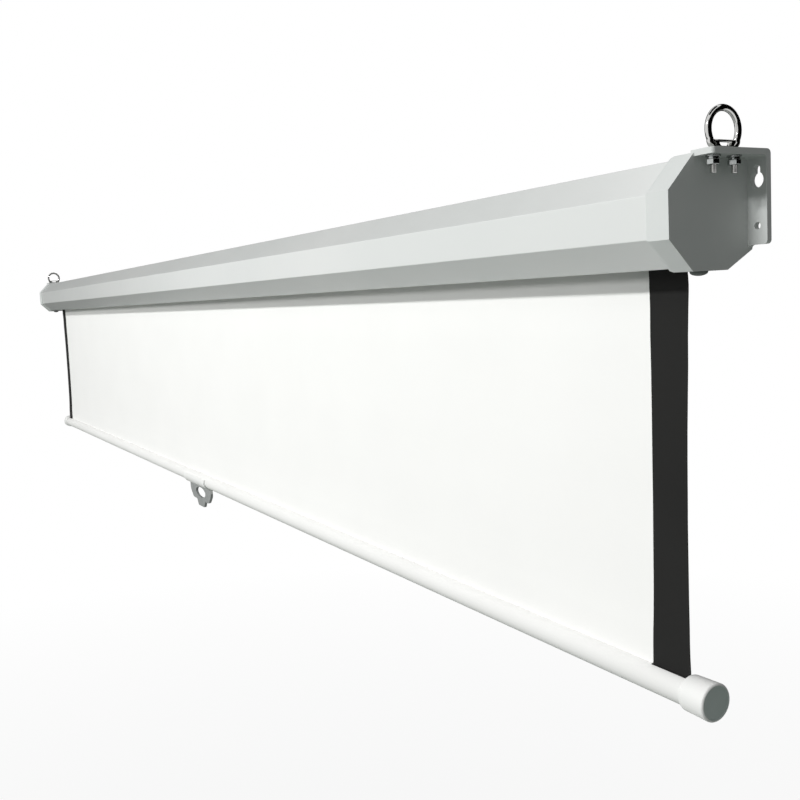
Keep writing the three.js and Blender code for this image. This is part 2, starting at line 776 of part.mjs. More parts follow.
function gudgeonPin() {
  return tubeX(gudgeonRadius, 0, flangeFace - gudgeonInPlug, holderInner + gudgeonInBush, smallRoundFacets);
}

// The collar at the spindle's inner end, which holds the fixed end of the spring.
function springAnchor() {
  return tubeX(plugRadius - fitGap, spindleRadius + fitGap, spindleInner, spindleInner + anchorLength);
}

// The torsion spring round the spindle, from the anchor to the plug, with a straight end at each.
function torsionSpring() {
  const start = spindleInner + anchorLength + fitGap;
  const end = halfTube - plugDepth - fitGap;
  const tail = 2 * springWireRadius;
  const pitch = (end - start - 2 * tail) / springTurns;
  const coil = Array.from({ length: springTurns * curlSteps + 1 }, (_, i) => {
    const turn = i / curlSteps;
    const place = polar(springMeanRadius, 2 * Math.PI * turn);
    return new THREE.Vector3(start + tail + pitch * turn, place.x, place.y);
  });
  const ends = [coil[0].clone().setX(start), coil[coil.length - 1].clone().setX(end)];
  console.log(`torsion spring: least gap to itself ${(leastGap(coil, curlSteps) - tail).toFixed(2)} mm`);
  return wire([ends[0], ...coil, ends[1]], springWireRadius, curlFacets);
}

// The least distance between points of a coil that lie at least half a turn apart.
function leastGap(points, stepsPerTurn) {
  const apart = stepsPerTurn / 2;
  return points.reduce((least, point, i) => points.slice(i + apart, i + 3 * apart + 1)
    .reduce((least2, other) => Math.min(least2, point.distanceTo(other)), least), Infinity);
}

// The white fabric that hangs from the roll, and the hem pocket round the weight tube.
function screenFabric() {
  const half = fabricThickness / 2;
  const foot = hemInner + half;
  const panel = [at(-half, foot), at(half, foot), at(half, barDrop), at(-half, barDrop)];
  const white = halfFabric - borderWidth;
  return joined(extrudedX(panel, -white, white), tubeX(hemRadius, hemInner, -halfFabric, halfFabric));
}

// A black border strip, which ends where it laps over the front of the hem.
function sideBorder() {
  const lap = arc(at(0, 0), hemRadius + fitGap + fabricThickness,
    radians(90 + hemSeamStart), radians(90 + hemSeamAngle), filletSteps);
  const face = -fabricThickness / 2;
  const line = [at(face, barDrop), at(face, hemRadius + hemSeamHeight), ...lap];
  return extrudedX(sheetOutline(line, fabricThickness), halfFabric - borderWidth, halfFabric);
}

function weightTube() {
  const half = halfBar - barCapEndWall - fitGap;
  return tubeX(barTubeRadius, barTubeRadius - barTubeWall, -half, half);
}

// The plastic cap on the end of the weight tube: a short shoulder, then a slight flare to its face.
function barCap() {
  const mouth = halfFabric + fitGap;
  const mouthRadius = hemInner + barCapMouthWall;
  const flare = hemInner + barCapFlare;
  const shoulder = arc(at(0, 0), 1, Math.PI, Math.PI / 2, filletSteps).map((point) =>
    at(mouthRadius + barCapShoulder * point.y, mouth + barCapShoulderLength * (1 + point.x)));
  return turnedX([
    at(0, halfBar - barCapEndWall),
    at(hemInner, halfBar - barCapEndWall),
    at(hemInner, mouth),
    ...shoulder,
    at(flare, halfBar - barCapRim),
    at(flare - barCapRim, halfBar),
    at(0, halfBar),
  ]);
}

// The pull handle: a clip round the hemmed tube, open at the top for the fabric, and a tab below it
// with a finger hole and a nub.
function pullHandle() {
  const clipInner = hemRadius + fitGap;
  const clipOuter = clipInner + handleClipWall;
  const from = radians(90 + handleClipOpening / 2);
  const to = radians(450 - handleClipOpening / 2);
  const clip = [
    ...arc(at(0, 0), clipOuter, from, to, smallRoundFacets),
    ...arc(at(0, 0), clipInner, to, from, smallRoundFacets),
  ];
  const half = handleWidth / 2;
  const top = -clipInner - handleClipWall / 2;
  const foot = -hemRadius - handleDepth;
  const shoulder = -hemRadius - handleShoulderShare * handleDepth;
  const side = [
    at(handleNubTipShare * half, foot - handleNubDepth),
    at(handleNubRootShare * half, foot),
    at(handleFootShare * half, foot),
    at(half, shoulder),
    at(half, top),
  ];
  const radii = [handleNubRadius, handleNubRadius, handleShoulderRadius, handleShoulderRadius, 0];
  const otherSide = side.map((point) => at(-point.x, point.y)).reverse();
  const outline = rounded([...side, ...otherSide], [...radii, ...radii.slice().reverse()]);
  const hole = circle(at(0, 0), 1).map((point) => at(handleHoleWidth / 2 * point.x,
    -hemRadius - handleTopWeb - handleHoleHeight / 2 * (1 - point.y)));
  const tab = extrudedY(outline, -handleThickness / 2, handleThickness / 2, [hole]);
  return joined(extrudedX(clip, -half, half), tab);
}

const caseGroup = new THREE.Group();
caseGroup.add(piece('case_shell', caseShell(), 'paintedSteel'));
for (const [side, sign] of [['right', 1], ['left', -1]]) {
  caseGroup.add(piece(`end_cap_${side}`, forEnd(sign, endCap()), 'mouldedCap'));
  caseGroup.add(piece(`hanger_bolt_${side}`, forEnd(sign, hangerBolt()), 'chrome'));
  caseGroup.add(piece(`hanger_crossbar_${side}`, forEnd(sign, hangerCrossbar()), 'chrome'));
  hangerLegs.forEach((y, i) => {
    const place = ['front', 'rear'][i];
    caseGroup.add(piece(`hanger_washer_${side}_${place}`, forEnd(sign, hangerWasher(y)), 'zinc'));
    const lockWasher = forEnd(sign, hangerLockWasher(y, lockWasherTurns[i]));
    caseGroup.add(piece(`hanger_lock_washer_${side}_${place}`, lockWasher, 'zinc'));
    caseGroup.add(piece(`hanger_nut_${side}_${place}`, forEnd(sign, hangerNut(y, nutTurns[i])), 'zinc'));
  });
  caseGroup.add(piece(`bumper_${side}`, forEnd(sign, bumper()), 'rubber'));
}

// What sits on the roller's axis but stays still. The spring and the lock are at the left end.
const axleGroup = new THREE.Group();
axleGroup.position.set(0, rollerAxis, 0);
axleGroup.add(piece('pin_bush', pinBush(), 'nylon'));
axleGroup.add(piece('spindle_holder', forEnd(-1, spindleHolder()), 'bareSteel'));
axleGroup.add(piece('spring_spindle', forEnd(-1, springSpindle()), 'bareSteel'));
axleGroup.add(piece('spring_anchor', forEnd(-1, springAnchor()), 'bareSteel'));
axleGroup.add(piece('ratchet_wheel', forEnd(-1, ratchetWheel()), 'bareSteel'));

// What turns about the roller's axis.
const rollerGroup = new THREE.Group();
rollerGroup.position.copy(axleGroup.position);
rollerGroup.add(piece('roller_tube', tubeX(rollerTubeRadius, tubeBore, -halfTube, halfTube), 'bareSteel'));
rollerGroup.add(piece('fabric_roll', tubeX(rollRadius, rollCore, -halfFabric, halfFabric), 'whiteFabric'));
rollerGroup.add(piece('idle_plug', rollerPlug(gudgeonRadius + fitGap), 'nylon'));
rollerGroup.add(piece('gudgeon_pin', gudgeonPin(), 'bareSteel'));
rollerGroup.add(piece('spring_plug', forEnd(-1, springPlug()), 'nylon'));
rollerGroup.add(piece('torsion_spring', forEnd(-1, torsionSpring()), 'springSteel'));
pawlTipAngles.forEach((tipAngle, i) => {
  const letter = ['a', 'b'][i];
  rollerGroup.add(piece(`pawl_pin_${letter}`, forEnd(-1, pawlPin(tipAngle)), 'bareSteel'));
  rollerGroup.add(piece(`lock_pawl_${letter}`, forEnd(-1, lockPawl(tipAngle)), 'bareSteel'));
});

// What moves up and down with the bottom bar.
const barGroup = new THREE.Group();
barGroup.position.set(0, fabricPlane, -barDrop);
barGroup.add(piece('screen_fabric', screenFabric(), 'whiteFabric'));
barGroup.add(piece('weight_tube', weightTube(), 'paintedSteel'));
barGroup.add(piece('pull_handle', pullHandle(), 'greyPlastic'));
for (const [side, sign] of [['right', 1], ['left', -1]]) {
  barGroup.add(piece(`side_border_${side}`, forEnd(sign, sideBorder()), 'blackFabric'));
  barGroup.add(piece(`bar_cap_${side}`, forEnd(sign, barCap()), 'whitePlastic'));
}

const screen = new THREE.Group();
screen.add(caseGroup, axleGroup, rollerGroup, barGroup);

export default screen;
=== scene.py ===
# %% [markdown]
# # A manual pull down projector screen
# The real object is a long steel case that hangs on a wall or from a ceiling. A spring roller inside it
# holds the white fabric, and a weighted bar with a pull handle hangs at the fabric's foot. The packed
# CAD model gives every place and every joint; this script dresses it. Hidden parts of the mechanism keep
# their CAD meshes, and what the eye meets is remade with finer edges, real sheet thickness and materials.

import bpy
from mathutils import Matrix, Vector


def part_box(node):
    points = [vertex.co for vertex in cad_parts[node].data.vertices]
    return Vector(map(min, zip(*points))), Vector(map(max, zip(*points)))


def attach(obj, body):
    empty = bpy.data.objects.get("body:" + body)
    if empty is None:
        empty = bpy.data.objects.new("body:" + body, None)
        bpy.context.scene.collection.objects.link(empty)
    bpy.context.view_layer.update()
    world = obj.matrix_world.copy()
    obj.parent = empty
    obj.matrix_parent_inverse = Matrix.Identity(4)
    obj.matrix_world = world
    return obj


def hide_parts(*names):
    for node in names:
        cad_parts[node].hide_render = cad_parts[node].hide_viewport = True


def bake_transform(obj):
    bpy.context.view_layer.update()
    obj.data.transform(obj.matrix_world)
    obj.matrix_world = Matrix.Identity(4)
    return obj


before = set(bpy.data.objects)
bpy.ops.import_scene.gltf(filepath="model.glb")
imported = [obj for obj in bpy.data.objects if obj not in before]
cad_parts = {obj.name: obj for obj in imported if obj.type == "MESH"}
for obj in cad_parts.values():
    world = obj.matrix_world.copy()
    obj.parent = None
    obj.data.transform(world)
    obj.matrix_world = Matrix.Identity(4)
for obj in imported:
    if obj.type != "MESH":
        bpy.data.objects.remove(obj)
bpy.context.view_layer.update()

# %% Modules and units
import math

import bmesh
import bpy
from mathutils import Matrix, Vector, noise

MM = 0.001
AXIS_X, AXIS_Z = Vector((1, 0, 0)), Vector((0, 0, 1))
SIDES = {"right": 1, "left": -1}
print("one millimetre is", MM)

# %% [markdown]
# ## The camera
# The photograph was taken from beside the right end, a little below the case, looking along it. A
# camera could be placed by eye. Here its place and its three directions were worked out from where the
# corners of the case, the tab and the bottom bar lie in the picture, so that a difference between render
# and photograph is one of the model. The camera comes first, because everything is judged by it.

# %% Camera
camera_place = Vector((1.53305, -0.50463, -0.0414))
camera_right = Vector((0.49234174, 0.86890919, -0.05095513))
camera_up = Vector((-0.0678734, 0.09669045, 0.99299756))
camera_back = camera_right.cross(camera_up)
camera_data = bpy.data.cameras.new("camera")
camera_data.lens = 43.73
camera_data.sensor_width = 36
camera_data.clip_start = 0.02
camera = bpy.data.objects.new("camera", camera_data)
turn = Matrix((camera_right, camera_up, camera_back)).transposed().to_4x4()
camera.matrix_world = Matrix.Translation(camera_place) @ turn
bpy.context.scene.collection.objects.link(camera)
bpy.context.scene.camera = camera
bpy.context.scene.view_settings.view_transform = "Standard"
print("camera looks along", tuple(round(value, 3) for value in -camera_back))

# %% [markdown]
# ## Colours and nodes
# A colour is easiest to choose as the hex value that a screen shows, but the shader works in linear
# light, so one function converts it. Nodes could be added and linked one line at a time, as the editor
# does it. A second function adds a node with its settings and its links in one call instead, so that a
# material reads from top to bottom as the list of what it does.

# %% Colour helper
def srgb(code):
    """Turns a hex colour as a screen shows it into linear red, green and blue, with full alpha."""
    parts = [int(code[i:i + 2], 16) / 255 for i in (1, 3, 5)]
    return (*[p / 12.92 if p <= 0.04045 else ((p + 0.055) / 1.055) ** 2.4 for p in parts], 1)


print("mid grey in linear light:", round(srgb("#808080")[0], 3))

# %% Node helpers
NOISE_LOW, NOISE_HIGH = 0.3, 0.7  # nearly all of a noise texture lies between these two values


def add_node(tree, kind, inputs=None, **settings):
    """Adds a node. inputs gives each socket, by name or number, a value or another node's output."""
    node = tree.nodes.new(kind)
    for name, value in settings.items():
        setattr(node, name, value)
    for name, value in (inputs or {}).items():
        if isinstance(value, bpy.types.NodeSocket):
            tree.links.new(value, node.inputs[name])
        else:
            node.inputs[name].default_value = value
    return node


def new_material(name, base, roughness, **sockets):
    """A material with one principled shader. Returns the material, its tree and the shader."""
    material = bpy.data.materials.new(name)
    material.use_nodes = True
    tree = material.node_tree
    tree.nodes.clear()
    values = {"Base Color": srgb(base), "Roughness": roughness}
    values.update({key.replace("_", " "): value for key, value in sockets.items()})
    shader = add_node(tree, "ShaderNodeBsdfPrincipled", values)
    add_node(tree, "ShaderNodeOutputMaterial", {"Surface": shader.outputs[0]})
    material.diffuse_color = srgb(base)
    return material, tree, shader


def grain(tree, size, detail=2.0, stretch=(1, 1, 1), place=None):
    """Noise on the object's own coordinates, with features about size metres across."""
    if place is None:
        place = add_node(tree, "ShaderNodeTexCoord").outputs["Object"]
    scale = tuple(1 / (size * factor) for factor in stretch)
    mapping = add_node(tree, "ShaderNodeMapping", {"Vector": place, "Scale": scale})
    return add_node(tree, "ShaderNodeTexNoise",
                    {"Vector": mapping.outputs[0], "Scale": 1.0, "Detail": detail}).outputs[0]


def spread(tree, value, low, high, from_low=NOISE_LOW, from_high=NOISE_HIGH):
    """Maps a noise value to a range of roughness or of mixing."""
    return add_node(tree, "ShaderNodeMapRange", {
        "Value": value, "From Min": from_low, "From Max": from_high, "To Min": low, "To Max": high,
    }).outputs[0]


def tint(tree, shader, value, first, second):
    """Lets a noise value blend the base colour between two shades."""
    mix = add_node(tree, "ShaderNodeMix", {0: value, 6: srgb(first), 7: srgb(second)}, data_type="RGBA")
    tree.links.new(mix.outputs[2], shader.inputs["Base Color"])


def raise_grain(tree, shader, height, depth, strength=1.0):
    """Turns a noise value into a bump of a real depth in metres."""
    bump = add_node(tree, "ShaderNodeBump", {"Height": height, "Distance": depth, "Strength": strength})
    tree.links.new(bump.outputs[0], shader.inputs["Normal"])


print("noise is read between", NOISE_LOW, "and", NOISE_HIGH)

# %% [markdown]
# ## Light, floor and backdrop
# The picture is a studio shot on white. One softbox stands in front and above, so that the case throws a
# narrow shadow on the fabric and the end plate, which faces away, stays dark. A wide, low box further left
# opens the shadows. The white behind comes from the world as the camera and reflections see it, not from
# more light on the object, and the floor is white to both in the same way. Dark cards that only reflections
# see stand to the left, behind, above, to the right and on the floor, as a product photographer's flags do:
# they give the chrome its black bands and let the far end of the case go grey, where one looks along it.

# %% World
fill_level = 0.235


def seen_by(tree, *kinds):
    """One for rays of the named kinds, such as Camera or Glossy, and nought for all others."""
    path = add_node(tree, "ShaderNodeLightPath").outputs
    seen = path[f"Is {kinds[0]} Ray"]
    for kind in kinds[1:]:
        seen = add_node(tree, "ShaderNodeMath", {0: seen, 1: path[f"Is {kind} Ray"]},
                        operation="MAXIMUM").outputs[0]
    return seen


def build_world():
    """White for the camera and for reflections, a weak fill for everything else."""
    world = bpy.data.worlds.new("studio")
    world.use_nodes = True
    bpy.context.scene.world = world
    tree = world.node_tree
    tree.nodes.clear()
    seen = seen_by(tree, "Camera", "Glossy", "Transmission")
    fill = add_node(tree, "ShaderNodeBackground", {"Color": srgb("#FFFFFF"), "Strength": fill_level})
    white = add_node(tree, "ShaderNodeBackground", {"Color": srgb("#FFFFFF"), "Strength": 1.0})
    mix = add_node(tree, "ShaderNodeMixShader", {0: seen, 1: fill.outputs[0], 2: white.outputs[0]})
    add_node(tree, "ShaderNodeOutputWorld", {"Surface": mix.outputs[0]})
    return world


print("world:", build_world().name, "with a fill of", fill_level)


# %% Lamps
def softbox(name, place, aim, size, power):
    """A rectangular lamp at a place, turned to face a point."""
    data = bpy.data.lights.new(name, "AREA")
    data.shape = "RECTANGLE"
    data.size, data.size_y = size
    data.energy = power
    lamp = bpy.data.objects.new(name, data)
    facing = (Vector(aim) - Vector(place)).to_track_quat("-Z", "Y").to_matrix().to_4x4()
    lamp.matrix_world = Matrix.Translation(place) @ facing
    bpy.context.scene.collection.objects.link(lamp)
    return lamp


key = softbox("key_softbox", place=(0.8, -3.0, 1.64), aim=(0.45, 0, -0.1), size=(0.8, 0.25), power=79.5)
fill = softbox("fill_softbox", place=(-1.5, -4.0, 0.9), aim=(-0.3, 0, -0.1), size=(3.0, 0.7), power=62)
fill.visible_glossy = False
print("lamps:", key.name, fill.name)

# %% Floor
floor_height = -1.75
floor_radius = 9.0
# Near the object the camera sees the floor nine tenths white, which leaves a faint shadow. From one metre
# to four and a half metres away it fades to all white.
white_near = 0.9
fade_from, fade_to = 1.0, 4.5


def build_floor():
    """A pale disc that keeps the object's shadow near it and fades into the white backdrop."""
    bm = bmesh.new()
    bmesh.ops.create_circle(bm, cap_ends=True, segments=96, radius=floor_radius,
                            matrix=Matrix.Translation((0, 0, floor_height)))
    mesh = bpy.data.meshes.new("studio_floor")
    bm.to_mesh(mesh)
    bm.free()
    floor = bpy.data.objects.new("studio_floor", mesh)
    bpy.context.scene.collection.objects.link(floor)
    material = bpy.data.materials.new("white_studio_floor")
    material.use_nodes = True
    tree = material.node_tree
    tree.nodes.clear()
    place = add_node(tree, "ShaderNodeTexCoord").outputs["Object"]
    level = add_node(tree, "ShaderNodeMapping", {"Vector": place, "Scale": (1, 1, 0)})
    away = add_node(tree, "ShaderNodeVectorMath", {0: level.outputs[0]}, operation="LENGTH")
    whiteness = spread(tree, away.outputs["Value"], white_near, 1.0, from_low=fade_from, from_high=fade_to)
    share = add_node(tree, "ShaderNodeMath", {0: seen_by(tree, "Camera", "Glossy"), 1: whiteness},
                     operation="MULTIPLY").outputs[0]
    matt = add_node(tree, "ShaderNodeBsdfDiffuse", {"Color": srgb("#9CA49E")})
    white = add_node(tree, "ShaderNodeEmission", {"Color": srgb("#FFFFFF"), "Strength": 1.0})
    mix = add_node(tree, "ShaderNodeMixShader", {0: share, 1: matt.outputs[0], 2: white.outputs[0]})
    add_node(tree, "ShaderNodeOutputMaterial", {"Surface": mix.outputs[0]})
    mesh.materials.append(material)
    return floor


print("floor:", build_floor().name, "at", floor_height)

# %% Dark cards for the reflections
card_material, _, _ = new_material("black_card", "#101010", 1.0, Specular_IOR_Level=0.0)


def dark_card(name, centre, width, height, facing):
    """A matt black card that only reflections see."""
    bm = bmesh.new()
    turn = Vector(facing).to_track_quat("Z", "Y").to_matrix().to_4x4()
    bmesh.ops.create_grid(bm, x_segments=1, y_segments=1, size=0.5)
    bmesh.ops.scale(bm, vec=(width, height, 1), verts=bm.verts)
    bmesh.ops.transform(bm, matrix=Matrix.Translation(centre) @ turn, verts=bm.verts)
    mesh = bpy.data.meshes.new(name)
    bm.to_mesh(mesh)
    bm.free()
    card = bpy.data.objects.new(name, mesh)
    bpy.context.scene.collection.objects.link(card)
    mesh.materials.append(card_material)
    card.visible_camera = card.visible_diffuse = card.visible_shadow = False
    card.visible_transmission = False
    return card


# Each card has its name, the place of its middle, its width and height, and the way it faces.
cards = [
    dark_card("card_left", (-4.2, 1.15, 1.525), 4.7, 6.55, (1, 0, 0)),
    dark_card("card_left_low", (-4.2, -2.2, -1.0), 2.0, 1.5, (1, 0, 0)),
    dark_card("card_below", (-4.6, 0, -1.7), 7.6, 6.0, (0, 0, 1)),
    dark_card("card_above", (1.0, -0.2, 3.6), 3.2, 3.2, (0, 0, -1)),
    dark_card("card_behind", (0.5, 2.6, 1.0), 7.0, 5.5, (0, -1, 0)),
    dark_card("card_right", (3.9, 0.6, 0.8), 5.0, 5.0, (-1, -0.25, 0)),
    dark_card("card_behind_camera", (4.2, -2.2, 0.8), 3.0, 5.0, (-1, 0.5, 0)),
]
print("cards:", [card.name for card in cards])

# %% [markdown]
# ## Finishes
# Each finish starts from what the real one is. The case is sheet steel with a baked powder coat, whose
# fine orange peel softens reflections. The end caps are moulded with a spark-eroded grain. The hanger is
# chrome on a bent rod, its nuts and washers are zinc plated, the bumper is rubber. The fabric is glass
# cloth with a matt white coating, and its side strips carry a black one. Each surface could be a picture
# wrapped round its piece. Noise on the object's own coordinates, and for the cloth on its own UV map, is
# used instead, because it needs no picture, has no seams, and gets its scale from a real size.

# %% Painted and moulded finishes
def powder_coated_steel(name):
    """Baked powder coat on sheet steel: satin, with an orange peel about a millimetre and a half wide."""
    material, tree, shader = new_material(name, "#DCDEDC", 0.42, IOR=1.5, Coat_Weight=0.7,
                                          Coat_Roughness=0.2)
    tint(tree, shader, spread(tree, grain(tree, 0.25, 1.0), 0, 1), "#DDDFDD", "#D8DBD9")
    tree.links.new(spread(tree, grain(tree, 0.02, 3.0), 0.38, 0.46), shader.inputs["Roughness"])
    raise_grain(tree, shader, grain(tree, 1.5 * MM, 1.0), 0.02 * MM, 0.5)
    return material


def spark_eroded_moulding(name, base, shade, roughness=0.5):
    """Plastic from a spark-eroded mould: even, with a grain about a third of a millimetre wide."""
    material, tree, shader = new_material(name, base, roughness, IOR=1.46)
    tint(tree, shader, spread(tree, grain(tree, 0.03, 2.0), 0, 1), base, shade)
    tree.links.new(spread(tree, grain(tree, 0.012), roughness - 0.05, roughness + 0.05),
                   shader.inputs["Roughness"])
    raise_grain(tree, shader, grain(tree, 0.35 * MM, 1.0), 0.012 * MM, 0.6)
    return material


def moulded_rubber():
    """Dark grey rubber from a mould: dull, slightly dusty, with a soft uneven skin."""
    material, tree, shader = new_material("moulded_grey_rubber", "#6A706D", 0.7)
    tint(tree, shader, spread(tree, grain(tree, 3 * MM, 4.0), 0, 1), "#656A67", "#737875")
    raise_grain(tree, shader, grain(tree, 0.8 * MM, 2.0), 0.03 * MM, 0.6)
    return material


case_paint = powder_coated_steel("powder_coated_sheet_steel")
cap_moulding = spark_eroded_moulding("spark_eroded_abs", "#D6D9D7", "#D2D6D4")
white_moulding = spark_eroded_moulding("spark_eroded_white_polypropylene", "#F4F4F2", "#F0F1EF")
# The grey-green of the tube caps' end faces is painted shade, for faces that turn away from the light.
cap_face_painted_shade = spark_eroded_moulding("painted_shade_cap_face_moulding", "#C6D2CE", "#BFCBC7")
handle_moulding = spark_eroded_moulding("spark_eroded_grey_polypropylene", "#9FA1A0", "#979A99", 0.42)
bar_paint = powder_coated_steel("powder_coated_white_tube")
rubber = moulded_rubber()
print("painted and moulded:", case_paint.name, cap_moulding.name, rubber.name)


# %% Metals
def plated(name, base, shade, low, high, size):
    """Bright plating on steel: the colour of the metal, with roughness that drifts over the surface."""
    material, tree, shader = new_material(name, base, low, Metallic=1.0)
    tint(tree, shader, spread(tree, grain(tree, size * 3, 3.0), 0, 1), base, shade)
    tree.links.new(spread(tree, grain(tree, size, 3.0), low, high), shader.inputs["Roughness"])
    raise_grain(tree, shader, grain(tree, size / 2, 2.0), 0.01 * MM, 0.3)
    return material


def drawn_steel(name, base, shade, low, high):
    """Bare steel, drawn or rolled along the screen's length: fine lines a tenth of a millimetre apart,
    drawn a quarter of a millimetre apart here, so that they show."""
    material, tree, shader = new_material(name, base, low, Metallic=1.0)
    lines = grain(tree, 0.25 * MM, 2.0, stretch=(60, 1, 1))
    tint(tree, shader, spread(tree, lines, 0, 1), base, shade)
    tree.links.new(spread(tree, lines, low, high), shader.inputs["Roughness"])
    raise_grain(tree, shader, lines, 0.01 * MM, 0.5)
    return material


chrome = plated("chrome_plated_rod", "#D2D2D0", "#C8C8C6", 0.05, 0.10, 2 * MM)
zinc = plated("bright_zinc_plate", "#B4B7B6", "#9EA2A1", 0.18, 0.30, 1.5 * MM)
steel = drawn_steel("cold_drawn_steel", "#9A9C9D", "#7E8183", 0.30, 0.45)
spring_wire = drawn_steel("oil_tempered_spring_wire", "#55585B", "#3E4144", 0.32, 0.48)
print("metals:", chrome.name, zinc.name, steel.name, spring_wire.name)


# %% Nylon and the coated cloths
def moulded_nylon():
    """Natural nylon: waxy and slightly translucent, so light softens inside its edges."""
    material, tree, shader = new_material("moulded_natural_nylon", "#E2DECF", 0.45, IOR=1.53,
                                          Subsurface_Weight=0.15, Subsurface_Scale=0.002)
    tint(tree, shader, spread(tree, grain(tree, 8 * MM, 2.0), 0, 1), "#E4E0D2", "#D9D4C4")
    raise_grain(tree, shader, grain(tree, 0.5 * MM, 1.0), 0.01 * MM, 0.5)
    return material


# The threads of such a cloth are about 0.4 mm apart; they are drawn 1 mm apart, so that they show.
drawn_thread = 1.0 * MM


def coated_cloth(name, base, shade, depth, roughness):
    """Glass cloth with a coating on it: matt, with the threads showing through as a fine square weave.
    The weave is on the cloth's own UV map, which is in metres, so that it follows the cloth."""
    material, tree, shader = new_material(name, base, roughness, Specular_IOR_Level=0.25)
    place = add_node(tree, "ShaderNodeUVMap", uv_map="cloth").outputs[0]
    tint(tree, shader, spread(tree, grain(tree, 0.12, 3.0, place=place), 0, 1), base, shade)
    # A wave texture of scale one has a band every pi / 10 units.
    threads = [add_node(tree, "ShaderNodeTexWave", {"Vector": place, "Scale": math.pi / 10 / drawn_thread},
                        bands_direction=way).outputs["Fac"] for way in ("X", "Y")]
    weave = add_node(tree, "ShaderNodeMath", {0: threads[0], 1: threads[1]}, operation="ADD")
    raise_grain(tree, shader, weave.outputs[0], depth, 0.5)
    return material


nylon = moulded_nylon()
white_cloth = coated_cloth("matt_white_coated_glass_cloth", "#F9F9F7", "#F7F7F5", 0.02 * MM, 0.95)
# The hem is the white cloth a shade darker: painted shade, which keeps its lit front below full white.
painted_shade_hem_cloth = coated_cloth("white_hem_cloth_with_painted_shade", "#EEEEEC", "#EBEBE9", 0.02 * MM, 0.95)
black_cloth = coated_cloth("matt_black_coated_glass_cloth", "#1C1C1B", "#181817", 0.03 * MM, 0.8)
print("cloths:", white_cloth.name, painted_shade_hem_cloth.name, black_cloth.name)

# %% [markdown]
# ## How a piece is finished
# A piece is shaped in a bmesh, which is then written to an object at the origin. Its normals are
# recalculated so that they point outwards, faces that meet at a gentle angle are shaded smooth, and a
# weighted normal modifier keeps large flat faces looking flat beside their rounded edges. All this could
# be done by hand in the editor, piece by piece. A few helpers do it the same way for every piece, and two
# more take a copy of a CAD mesh and round its edges. The bevel that rounds them never lets roundings run
# into each other: it narrows all of a piece to what the tightest edge allows. So a named width is only the
# most that a rounding may reach, and on a piece with a very short edge it comes out far narrower.

# %% From a bmesh to a piece
WELD = 1e-6
SMOOTH_BELOW = math.radians(38)


def put_in_order(items, place):
    """Numbers points, edges or faces by their place, because extrude and spin number them in an order that
    changes from run to run, and the script should write the same mesh each time."""
    by_place = sorted(items, key=lambda item: tuple(round(value, 6) for value in place(item)))
    for index, item in enumerate(by_place):
        item.index = index
    items.sort()


def to_object(name, bm, material, outward=True):
    """Writes a bmesh to a new object with one material, and shades its gentle edges smooth."""
    if outward:
        bmesh.ops.recalc_face_normals(bm, faces=bm.faces)
    put_in_order(bm.verts, lambda vert: vert.co)
    put_in_order(bm.edges, lambda edge: (edge.verts[0].co + edge.verts[1].co) / 2)
    put_in_order(bm.faces, lambda face: face.calc_center_median())
    for face in bm.faces:
        face.smooth = True
    for edge in bm.edges:
        edge.smooth = edge.is_manifold and edge.calc_face_angle(0) < SMOOTH_BELOW
    mesh = bpy.data.meshes.new(name)
    bm.to_mesh(mesh)
    bm.free()
    piece = bpy.data.objects.new(name, mesh)
    bpy.context.scene.collection.objects.link(piece)
    mesh.materials.append(material)
    return piece


def keep_flats(piece):
    """Adds the modifier that keeps flat faces flat in the shading."""
    modifier = piece.modifiers.new("flat_faces", "WEIGHTED_NORMAL")
    modifier.keep_sharp = True
    modifier.weight = 60


def settle(piece, body, slot, *nodes):
    """Lets a piece ride on its body and lets it stand for CAD nodes. The slot argument is not used."""
    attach(piece, body)
    if nodes:
        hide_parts(*nodes)
    return piece


print("edges shaded smooth below", round(math.degrees(SMOOTH_BELOW)), "degrees")

# %% Copies of CAD meshes, with rounded edges
FLAT_BELOW = math.radians(1)


def merged_copy(node):
    """A copy of a CAD node's mesh with its loose triangles joined into whole faces."""
    bm = bmesh.new()
    bm.from_mesh(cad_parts[node].data)
    bmesh.ops.remove_doubles(bm, verts=bm.verts, dist=WELD)
    bmesh.ops.dissolve_limit(bm, angle_limit=FLAT_BELOW, verts=bm.verts, edges=bm.edges)
    return bm


def round_edges(bm, most, above=28, below=181, segments=3, chosen=None):
    """Rounds the edges whose faces meet at an angle between two bounds in degrees. The rounding reaches
    from the edge as far as the tightest edge of the piece allows, and at most the given width."""
    edges = [edge for edge in bm.edges if edge.is_manifold
             and above < math.degrees(edge.calc_face_angle(0)) < below
             and (chosen is None or chosen(edge))]
    bmesh.ops.bevel(bm, geom=edges, offset=most, offset_type="OFFSET", segments=segments, profile=0.5,
                    affect="EDGES", material=-1, clamp_overlap=True)
    return len(edges)


print("triangles joined where they bend by less than", round(math.degrees(FLAT_BELOW)), "degree")

# %% [markdown]
# ## The case
# The real case is one sheet of steel, a millimetre thick, folded lengthwise into an eight-sided tube and
# left open below, where the fabric comes out. The CAD solid has that sheet with sharp folds. A press
# brake leaves a small radius at each fold, and that radius is what catches a line of light. The section
# could be drawn again and pushed along the case, but the CAD solid has each fold in its place already, so
# a merged copy has its fold edges rounded with a bevel, the inner and the outer edge alike.

# %% Case body
fold_width = 1.3 * MM


def runs_lengthwise(edge):
    """Whether an edge runs along the case."""
    return abs((edge.verts[1].co - edge.verts[0].co).normalized().x) > 0.99


def build_case():
    """The folded sheet, with rounded folds. The edges of its cut rim, at 90 degrees, stay sharp."""
    bm = merged_copy("case_shell")
    folds = round_edges(bm, fold_width, above=20, below=80, segments=5, chosen=runs_lengthwise)
    print("folds rounded:", folds)
    piece = to_object("case_body", bm, case_paint)
    keep_flats(piece)
    return settle(piece, "case", "case_paint", "case_shell")


case_body = build_case()
print("case faces:", len(case_body.data.polygons))

